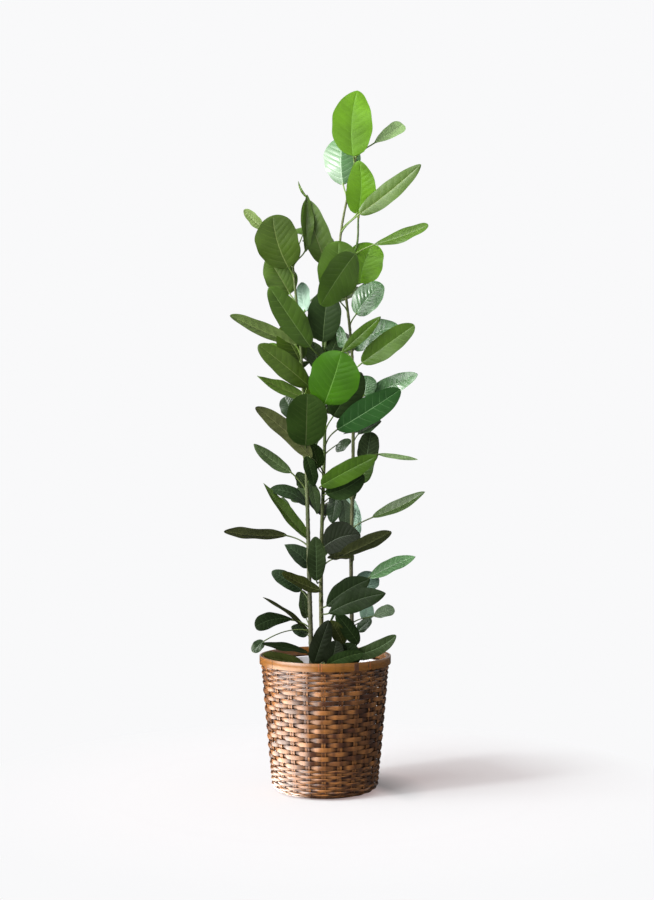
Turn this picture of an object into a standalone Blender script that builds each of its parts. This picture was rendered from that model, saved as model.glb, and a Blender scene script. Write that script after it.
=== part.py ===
"""Potted bengal fig: three leafy stems in a nursery pot that stands inside a woven bamboo basket.

Metres, +Z up. The origin is the centre of the basket's flat underside, and the front is towards -Y.
"""

import math
import random
from typing import NamedTuple

import bmesh
import bpy
from mathutils import Vector

# Basket
BASKET_HEIGHT = 0.290
BASE_RADIUS = 0.090
FOOT_RADIUS = 0.1150
FOOT_ROUNDING = 0.018
BODY_TOP_RADIUS = 0.1379
BASKET_WALL = 0.004
BASKET_FLOOR = 0.005
HOOP_RADIUS = 0.1413
HOOP_HEIGHT = 0.017
HOOP_THICKNESS = 0.0095
HOOP_EASE = 0.002

# Nursery pot and what fills it
POT_BASE_RADIUS = 0.0865
POT_NECK_RADIUS = 0.1165
POT_LIP_RADIUS = 0.1215
POT_LIP_HEIGHT = 0.014
POT_WALL = 0.002
POT_BELOW_RIM = 0.018
SOIL_LEVEL = 0.245

# Stems
STEM_SECTIONS = 15
STEM_FLARE = 0.55
FLARE_HEIGHT = 0.016
COLLAR_SHARES = (0, 0.6, 1.6)

# Foliage
MASS_CORE = 0.46
MASS_LOBES = 10
LOBE_SHARPNESS = 7
LOBE_JITTER = 0.30

# Making
TURN_STEPS = 40
ARC_STEPS = 4
STEM_ROUNDNESS = 2
MASS_DETAIL = 3
WELD_DISTANCE = 0.00001
SEAT_GAP = 0.0003
STEM_CLEARANCE = 0.0005
MASS_GAP = 0.0006

OBJECT_NAME = "potted_bengal_fig"

BODY_TOP = BASKET_HEIGHT - HOOP_HEIGHT - SEAT_GAP
POT_FOOT = BASKET_FLOOR + SEAT_GAP
POT_TOP = BASKET_HEIGHT - POT_BELOW_RIM
STEM_FOOT = SOIL_LEVEL + SEAT_GAP

BAMBOO = ("bamboo", (0.42, 0.20, 0.055), 0.38)
HOOP_BAMBOO = ("hoop_bamboo", (0.50, 0.22, 0.06), 0.42)
POT_PLASTIC = ("pot_plastic", (0.80, 0.80, 0.79), 0.40)
SOIL = ("soil", (0.045, 0.028, 0.018), 0.95)
BARK = ("bark", (0.16, 0.14, 0.09), 0.70)
LIGHT_LEAF = ("light_leaf", (0.16, 0.34, 0.04), 0.45)
MID_LEAF = ("mid_leaf", (0.07, 0.19, 0.03), 0.45)
DARK_LEAF = ("dark_leaf", (0.03, 0.09, 0.02), 0.45)


class Stem(NamedTuple):
    """A stem through a few points, from the soil to its tip, with its width at both ends."""

    name: str
    points: tuple
    foot_width: float
    tip_width: float


class Mass(NamedTuple):
    """A mass of foliage that fills a box from its low to its high corner."""

    name: str
    low: tuple
    high: tuple
    finish: tuple


STEMS = (
    Stem(
        "stem_left",
        (
            (-0.028, -0.030, STEM_FOOT),
            (-0.033, -0.032, 0.420),
            (-0.040, -0.026, 0.680),
            (-0.051, -0.022, 0.930),
            (-0.069, -0.026, 1.125),
        ),
        0.0110,
        0.0050,
    ),
    Stem(
        "stem_centre",
        (
            (-0.0065, 0.032, STEM_FOOT),
            (-0.009, 0.034, 0.480),
            (-0.001, 0.030, 0.760),
            (-0.002, 0.034, 0.930),
            (0.024, 0.034, 1.080),
            (0.066, 0.026, 1.165),
            (0.072, 0.020, 1.237),
        ),
        0.0105,
        0.0042,
    ),
    Stem(
        "stem_right",
        (
            (0.060, -0.002, STEM_FOOT),
            (0.056, 0.004, 0.480),
            (0.060, -0.004, 0.720),
            (0.058, -0.008, 0.930),
            (0.040, -0.010, 1.100),
            (0.033, -0.006, 1.190),
            (0.066, -0.002, 1.362),
        ),
        0.0095,
        0.0045,
    ),
)

MASSES = (
    Mass("foliage_crown_tip", (0.002, -0.062, 1.245), (0.113, 0.062, 1.508), LIGHT_LEAF),
    Mass("foliage_crown_right", (0.072, -0.050, 1.155), (0.221, 0.062, 1.432), LIGHT_LEAF),
    Mass("foliage_crown_heart", (-0.024, -0.105, 1.040), (0.135, 0.085, 1.245), LIGHT_LEAF),
    Mass("foliage_left_tip", (-0.172, -0.095, 1.095), (0.012, 0.070, 1.286), MID_LEAF),
    Mass("foliage_left_upper", (-0.207, -0.130, 0.840), (0.000, 0.070, 1.125), MID_LEAF),
    Mass("foliage_centre_upper", (-0.040, -0.090, 0.925), (0.110, 0.095, 1.075), DARK_LEAF),
    Mass("foliage_right_upper", (0.040, -0.105, 0.830), (0.199, 0.100, 1.077), MID_LEAF),
    Mass("foliage_front_middle", (-0.082, -0.190, 0.735), (0.150, 0.010, 0.945), LIGHT_LEAF),
    Mass("foliage_left_middle", (-0.158, -0.110, 0.655), (-0.012, 0.110, 0.860), MID_LEAF),
    Mass("foliage_right_middle", (0.030, -0.100, 0.680), (0.201, 0.120, 0.860), MID_LEAF),
    Mass("foliage_centre_low", (-0.055, -0.165, 0.550), (0.115, 0.050, 0.740), MID_LEAF),
    Mass("foliage_left_low", (-0.220, -0.110, 0.480), (-0.010, 0.090, 0.690), DARK_LEAF),
    Mass("foliage_right_low", (0.035, -0.100, 0.445), (0.214, 0.100, 0.660), MID_LEAF),
    Mass("foliage_left_foot", (-0.154, -0.165, 0.296), (0.010, 0.080, 0.485), DARK_LEAF),
    Mass("foliage_right_foot", (-0.010, -0.160, 0.298), (0.153, 0.090, 0.475), DARK_LEAF),
    Mass("foliage_back_upper", (-0.110, 0.010, 0.860), (0.110, 0.175, 1.120), MID_LEAF),
    Mass("foliage_back_middle", (-0.115, 0.020, 0.600), (0.125, 0.200, 0.880), MID_LEAF),
    Mass("foliage_back_low", (-0.110, 0.015, 0.330), (0.115, 0.185, 0.620), DARK_LEAF),
)


def clear_scene():
    for leftover in list(bpy.data.objects):
        bpy.data.objects.remove(leftover, do_unlink=True)


def new_collection(name, hidden=False):
    collection = bpy.data.collections.new(name)
    bpy.context.scene.collection.children.link(collection)
    collection.hide_render = hidden
    return collection


def make_material(node, finish):
    """Each node's own Principled material, named for the node and its finish."""
    label, colour, roughness = finish
    material = bpy.data.materials.new(f"{node}_{label}")
    material.use_nodes = True
    shader = material.node_tree.nodes["Principled BSDF"]
    shader.inputs["Base Color"].default_value = (*colour, 1.0)
    shader.inputs["Roughness"].default_value = roughness
    material.diffuse_color = (*colour, 1.0)
    return material


def add_object(name, data, collection, finish):
    made = bpy.data.objects.new(name, data)
    collection.objects.link(made)
    data.materials.append(make_material(name, finish))
    return made


def turned(name, profile, collection, finish, ring=False):
    """A profile of (radius, height) points turned about Z. It runs down its outer side."""
    mesh = bpy.data.meshes.new(name)
    edges = [(i, i + 1) for i in range(len(profile) - 1)]
    if ring:
        edges.append((len(profile) - 1, 0))
    mesh.from_pydata([(radius, 0, height) for radius, height in profile], edges, [])
    made = add_object(name, mesh, collection, finish)
    screw = made.modifiers.new("turn", "SCREW")
    screw.axis = "Z"
    screw.steps = TURN_STEPS
    screw.render_steps = TURN_STEPS
    screw.use_merge_vertices = True
    screw.merge_threshold = WELD_DISTANCE
    screw.use_smooth_shade = True
    return made


def rounded_foot(base_radius, side_radius, low, high):
    """Points of a quarter ellipse, from the side down to the flat base."""
    points = []
    for step in range(ARC_STEPS + 1):
        angle = math.pi / 2 * (1 - step / ARC_STEPS)
        radius = base_radius + (side_radius - base_radius) * math.sin(angle)
        points.append((radius, high - (high - low) * math.cos(angle)))
    return points


def make_basket(collection):
    outside = [(BODY_TOP_RADIUS, BODY_TOP)]
    outside += rounded_foot(BASE_RADIUS, FOOT_RADIUS, 0, FOOT_ROUNDING)
    inside = [
        (0, BASKET_FLOOR),
        (BASE_RADIUS - BASKET_WALL / 2, BASKET_FLOOR),
        (FOOT_RADIUS - BASKET_WALL, FOOT_ROUNDING + BASKET_WALL / 2),
        (BODY_TOP_RADIUS - BASKET_WALL, BODY_TOP),
    ]
    turned("basket", inside + outside + [(0, 0)], collection, BAMBOO)


def make_hoop(collection):
    low = BODY_TOP + SEAT_GAP
    inner = HOOP_RADIUS - HOOP_THICKNESS
    section = [
        (HOOP_RADIUS - HOOP_EASE, BASKET_HEIGHT),
        (HOOP_RADIUS, BASKET_HEIGHT - HOOP_EASE),
        (HOOP_RADIUS, low + HOOP_EASE),
        (HOOP_RADIUS - HOOP_EASE, low),
        (inner, low),
        (inner, BASKET_HEIGHT),
    ]
    turned("rim_hoop", section, collection, HOOP_BAMBOO, ring=True)


def pot_radius(height):
    """The nursery pot's outside radius below its lip."""
    rise = (height - POT_FOOT) / (POT_TOP - POT_LIP_HEIGHT - POT_FOOT)
    return POT_BASE_RADIUS + (POT_NECK_RADIUS - POT_BASE_RADIUS) * rise


def make_pot(collection):
    floor = POT_FOOT + POT_WALL
    lip_foot = POT_TOP - POT_LIP_HEIGHT
    profile = [
        (0, floor),
        (pot_radius(floor) - POT_WALL, floor),
        (pot_radius(POT_TOP) - POT_WALL, POT_TOP),
        (POT_LIP_RADIUS, POT_TOP),
        (POT_LIP_RADIUS, lip_foot),
        (POT_NECK_RADIUS, lip_foot),
        (POT_BASE_RADIUS, POT_FOOT),
        (0, POT_FOOT),
    ]
    turned("nursery_pot", profile, collection, POT_PLASTIC)


def make_soil(collection):
    low = POT_FOOT + POT_WALL + SEAT_GAP
    inset = POT_WALL + SEAT_GAP
    profile = [
        (0, SOIL_LEVEL),
        (pot_radius(SOIL_LEVEL) - inset, SOIL_LEVEL),
        (pot_radius(low) - inset, low),
        (0, low),
    ]
    turned("soil", profile, collection, SOIL)


def smooth_line(points, count):
    """Evenly numbered points on one smooth curve through all the given ones."""
    ends = [points[0] * 2 - points[1], *points, points[-1] * 2 - points[-2]]
    line = []
    for step in range(count + 1):
        place = step / count * (len(points) - 1)
        span = min(int(place), len(points) - 2)
        t = place - span
        before, start, end, after = ends[span : span + 4]
        line.append(
            start
            + (end - before) * (t / 2)
            + (before * 2 - start * 5 + end * 4 - after) * (t * t / 2)
            + (start * 3 - before - end * 3 + after) * (t**3 / 2)
        )
    return line


def stem_width(stem, height):
    """The taper from foot to tip, with the flare at the soil."""
    tip = stem.points[-1][2]
    rise = (height - STEM_FOOT) / (tip - STEM_FOOT)
    flare = 1 + STEM_FLARE * math.exp(-(height - STEM_FOOT) / FLARE_HEIGHT)
    return (stem.foot_width + (stem.tip_width - stem.foot_width) * rise) * flare


def stem_line(stem):
    """The stem's centre line. Its foot is upright, so that the cut at the soil is level."""
    line = smooth_line([Vector(point) for point in stem.points], STEM_SECTIONS)
    foot = line[0]
    collar = [foot + Vector((0, 0, FLARE_HEIGHT * share)) for share in COLLAR_SHARES]
    return collar + line[1:]


def make_limb(stem, name, collection, grow=0.0):
    """The stem as a closed mesh. grow widens it all round, for a cutter."""
    curve = bpy.data.curves.new(name, "CURVE")
    curve.dimensions = "3D"
    curve.bevel_depth = 1.0
    curve.bevel_resolution = STEM_ROUNDNESS
    curve.use_fill_caps = True
    line = stem_line(stem)
    spline = curve.splines.new("POLY")
    spline.points.add(len(line) - 1)
    for point, place in zip(spline.points, line, strict=True):
        point.co = (*place, 1.0)
        point.radius = stem_width(stem, place.z) / 2 + grow
    guide = bpy.data.objects.new(f"{name}_guide", curve)
    bpy.context.scene.collection.objects.link(guide)
    bpy.context.view_layer.update()
    graph = bpy.context.evaluated_depsgraph_get()
    mesh = bpy.data.meshes.new_from_object(guide.evaluated_get(graph))
    mesh.name = name
    made = add_object(name, mesh, collection, BARK)
    made.matrix_world = guide.matrix_world
    bpy.data.objects.remove(guide, do_unlink=True)
    welded = bmesh.new()
    welded.from_mesh(mesh)
    bmesh.ops.remove_doubles(welded, verts=welded.verts, dist=WELD_DISTANCE)
    bmesh.ops.recalc_face_normals(welded, faces=welded.faces)
    welded.to_mesh(mesh)
    welded.free()
    return made


def lobe_directions(seed):
    """Directions spread evenly over a ball, then shaken a little."""
    dice = random.Random(seed)
    turn = math.pi * (3 - math.sqrt(5))
    found = []
    for number in range(MASS_LOBES):
        height = 1 - (2 * number + 1) / MASS_LOBES
        width = math.sqrt(1 - height * height)
        direction = Vector((math.cos(turn * number) * width, math.sin(turn * number) * width, height))
        shake = Vector([dice.uniform(-LOBE_JITTER, LOBE_JITTER) for _ in range(3)])
        found.append((direction + shake).normalized())
    return found


def uneven_ball(seed):
    """Directions of an icosphere's corners, each as long as the leafy surface is far out there."""
    ball = bmesh.new()
    bmesh.ops.create_icosphere(ball, subdivisions=MASS_DETAIL, radius=1.0)
    lobes = lobe_directions(seed)
    for corner in ball.verts:
        direction = corner.co.normalized()
        nearest = max(0.0, max(direction.dot(lobe) for lobe in lobes))
        corner.co = direction * (MASS_CORE + (1 - MASS_CORE) * nearest**LOBE_SHARPNESS)
    return ball


def fit_to_box(ball, low, high):
    """Stretches the ball to fill the box, and returns where its centre goes."""
    spans = []
    for axis in range(3):
        places = [corner.co[axis] for corner in ball.verts]
        lowest = min(places)
        scale = (high[axis] - low[axis]) / (max(places) - lowest)
        spans.append((scale, low[axis] - lowest * scale))
    for corner in ball.verts:
        corner.co = Vector([corner.co[axis] * spans[axis][0] + spans[axis][1] for axis in range(3)])
    return Vector([shift for _, shift in spans])


def shared_plane(mass, other):
    """A point between two masses and the direction from the first to the second."""
    middle, half = mass
    other_middle, other_half = other
    apart = other_middle - middle
    reach = 1 / Vector([apart[axis] / half[axis] for axis in range(3)]).length
    other_reach = 1 / Vector([apart[axis] / other_half[axis] for axis in range(3)]).length
    point = middle + apart * (reach / (reach + other_reach))
    facing = Vector([apart[axis] / (half[axis] + other_half[axis]) ** 2 for axis in range(3)])
    return point, facing.normalized()


def hold_back(ball, centre, planes):
    """Pulls the corners straight towards the centre until they are behind every plane."""
    for corner in ball.verts:
        ray = corner.co - centre
        share = 1.0
        for point, facing in planes:
            ahead = ray.dot(facing)
            room = (point - centre).dot(facing) - MASS_GAP / 2
            if ahead > room:
                share = min(share, room / ahead)
        corner.co = centre + ray * share


def make_masses(collection, cutters):
    balls = []
    for number, mass in enumerate(MASSES):
        ball = uneven_ball(number)
        centre = fit_to_box(ball, mass.low, mass.high)
        half = (Vector(mass.high) - Vector(mass.low)) / 2
        balls.append((mass, ball, (centre, half)))
    for mass, ball, place in balls:
        planes = [shared_plane(place, other) for _, _, other in balls if other is not place]
        hold_back(ball, place[0], planes)
        mesh = bpy.data.meshes.new(mass.name)
        ball.to_mesh(mesh)
        ball.free()
        mesh.shade_smooth()
        made = add_object(mass.name, mesh, collection, mass.finish)
        cut = made.modifiers.new("round_the_stems", "BOOLEAN")
        cut.operation = "DIFFERENCE"
        cut.solver = "EXACT"
        cut.operand_type = "COLLECTION"
        cut.collection = cutters


def main():
    clear_scene()
    plant = new_collection(OBJECT_NAME)
    cutters = new_collection("stem_clearances", hidden=True)
    make_basket(plant)
    make_hoop(plant)
    make_pot(plant)
    make_soil(plant)
    for stem in STEMS:
        make_limb(stem, stem.name, plant)
        cutter = make_limb(stem, f"{stem.name}_clearance", cutters, grow=STEM_CLEARANCE)
        cutter.hide_render = True
        cutter.display_type = "WIRE"
    make_masses(plant, cutters)


main()
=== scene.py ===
"""The looks of a potted bengal fig: three stems of big oval leaves in a woven bamboo basket.

Laid out as an add-on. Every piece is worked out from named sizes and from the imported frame, in metres, with
+Z up.
"""

import math
from typing import NamedTuple

import bmesh
import bpy
import numpy as np
from bpy.props import FloatProperty, FloatVectorProperty, IntProperty, PointerProperty
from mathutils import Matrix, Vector


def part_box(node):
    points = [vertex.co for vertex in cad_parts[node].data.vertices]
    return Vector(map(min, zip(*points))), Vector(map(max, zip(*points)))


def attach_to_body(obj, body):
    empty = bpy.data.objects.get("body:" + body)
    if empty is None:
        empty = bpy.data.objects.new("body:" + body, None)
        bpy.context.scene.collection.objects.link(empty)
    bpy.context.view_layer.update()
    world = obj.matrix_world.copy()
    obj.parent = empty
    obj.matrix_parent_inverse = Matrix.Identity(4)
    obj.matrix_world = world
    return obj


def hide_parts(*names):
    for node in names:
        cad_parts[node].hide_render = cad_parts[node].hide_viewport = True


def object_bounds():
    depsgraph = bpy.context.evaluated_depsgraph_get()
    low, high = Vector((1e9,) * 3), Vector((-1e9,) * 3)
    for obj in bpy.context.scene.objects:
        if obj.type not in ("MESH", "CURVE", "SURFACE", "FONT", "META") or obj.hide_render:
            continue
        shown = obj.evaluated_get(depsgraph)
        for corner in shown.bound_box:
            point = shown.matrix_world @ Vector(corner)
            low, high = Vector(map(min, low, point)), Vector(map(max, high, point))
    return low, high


bl_info = {
    "name": "Potted Bengal Fig",
    "version": (1, 0, 0),
    "blender": (4, 5, 0),
    "location": "3D View > Sidebar > Fig",
    "description": "Builds a bengal fig in a woven bamboo basket around its packed frame",
    "category": "Object",
}

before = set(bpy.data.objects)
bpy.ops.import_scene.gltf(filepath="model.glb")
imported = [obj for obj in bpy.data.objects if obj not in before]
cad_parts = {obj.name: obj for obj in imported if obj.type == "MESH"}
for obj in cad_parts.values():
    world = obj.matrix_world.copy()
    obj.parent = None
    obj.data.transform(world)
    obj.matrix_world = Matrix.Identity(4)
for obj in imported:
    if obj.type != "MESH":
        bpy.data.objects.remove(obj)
CAD_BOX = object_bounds()

MM = 0.001
GOLDEN_ANGLE = math.radians(137.5)
ROOT = "root"

# The photo's frame and the camera that matches it
PICTURE_WIDTH = 654
PICTURE_HEIGHT = 900
LONG_SIDE_OF_SENSOR = 36.0

# The basket's side as it is packed: a flat base, a rounded foot and a straight flare to the hoop
BASKET_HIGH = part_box("basket")[1]
BASE_RADIUS = 0.0900
FOOT_RADIUS = 0.1150
FOOT_ROUNDING = 0.018
BASKET_TOP_RADIUS = BASKET_HIGH.x
BASKET_TOP = BASKET_HIGH.z
HOOP_LOW, HOOP_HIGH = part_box("rim_hoop")
POT_LOW, POT_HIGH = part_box("nursery_pot")
SOIL_LOW, SOIL_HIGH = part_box("soil")

MASSES = sorted(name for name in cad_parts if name.startswith("foliage_"))


class StemPlan(NamedTuple):
    """A stem's centre line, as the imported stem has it, its widths and its bark from the soil to the tip."""

    node: str
    points: tuple
    foot_width: float
    tip_width: float
    low_bark: tuple
    high_bark: tuple


STEM_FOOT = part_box("stem_left")[0].z
STEMS = {
    "left": StemPlan(
        "stem_left",
        (
            (-0.028, -0.030, STEM_FOOT),
            (-0.033, -0.032, 0.420),
            (-0.040, -0.026, 0.680),
            (-0.051, -0.022, 0.930),
            (-0.069, -0.026, 1.125),
        ),
        0.0110,
        0.0050,
        (56, 61, 36),
        (76, 92, 42),
    ),
    "centre": StemPlan(
        "stem_centre",
        (
            (-0.0065, 0.032, STEM_FOOT),
            (-0.009, 0.034, 0.480),
            (-0.001, 0.030, 0.760),
            (-0.002, 0.034, 0.930),
            (0.024, 0.034, 1.080),
            (0.066, 0.026, 1.165),
            (0.072, 0.020, 1.237),
        ),
        0.0105,
        0.0042,
        (78, 80, 44),
        (80, 108, 44),
    ),
    "right": StemPlan(
        "stem_right",
        (
            (0.060, -0.002, STEM_FOOT),
            (0.056, 0.004, 0.480),
            (0.060, -0.004, 0.720),
            (0.058, -0.008, 0.930),
            (0.040, -0.010, 1.100),
            (0.033, -0.006, 1.190),
            (0.066, -0.002, 1.362),
        ),
        0.0095,
        0.0045,
        (62, 62, 40),
        (88, 98, 50),
    ),
}


class Form(NamedTuple):
    """A leaf's outline: where it is widest, and how round its base and tip are, from 1, pointed, to 2.5."""

    widest: float
    base: float
    tip: float


FORMS = {
    "ovate": Form(0.42, 2.2, 1.55),
    "round": Form(0.50, 2.2, 2.1),
    "oblong": Form(0.48, 2.0, 1.9),
    "spoon": Form(0.64, 1.25, 2.2),
    "spatula": Form(0.80, 1.0, 2.5),
    "lance": Form(0.54, 1.2, 1.25),
    "narrow": Form(0.46, 1.5, 1.35),
    "tailed": Form(0.36, 2.0, 1.0),
    "egg": Form(0.60, 1.5, 2.3),
}


class SeenLeaf(NamedTuple):
    """A leaf that the photo shows. Lengths are in millimetres; base and tip say how far across, up and back.

    drop is how far below the blade its stalk leaves the stem. turn is 0 where the upper face is seen, 90 on
    edge and 180 where the underside is. arch is the midrib's bow towards the upper face and bow its bow to
    the left of its way, as shares of its length. fold is how many degrees each half is raised, and twist how
    many the blade turns from its base to its tip.
    """

    form: str
    tint: str
    stem: str
    drop: float
    base: tuple
    tip: tuple
    width: float
    turn: float
    arch: float = 0.05
    fold: float = 10
    bow: float = 0.0
    twist: float = 0


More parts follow.
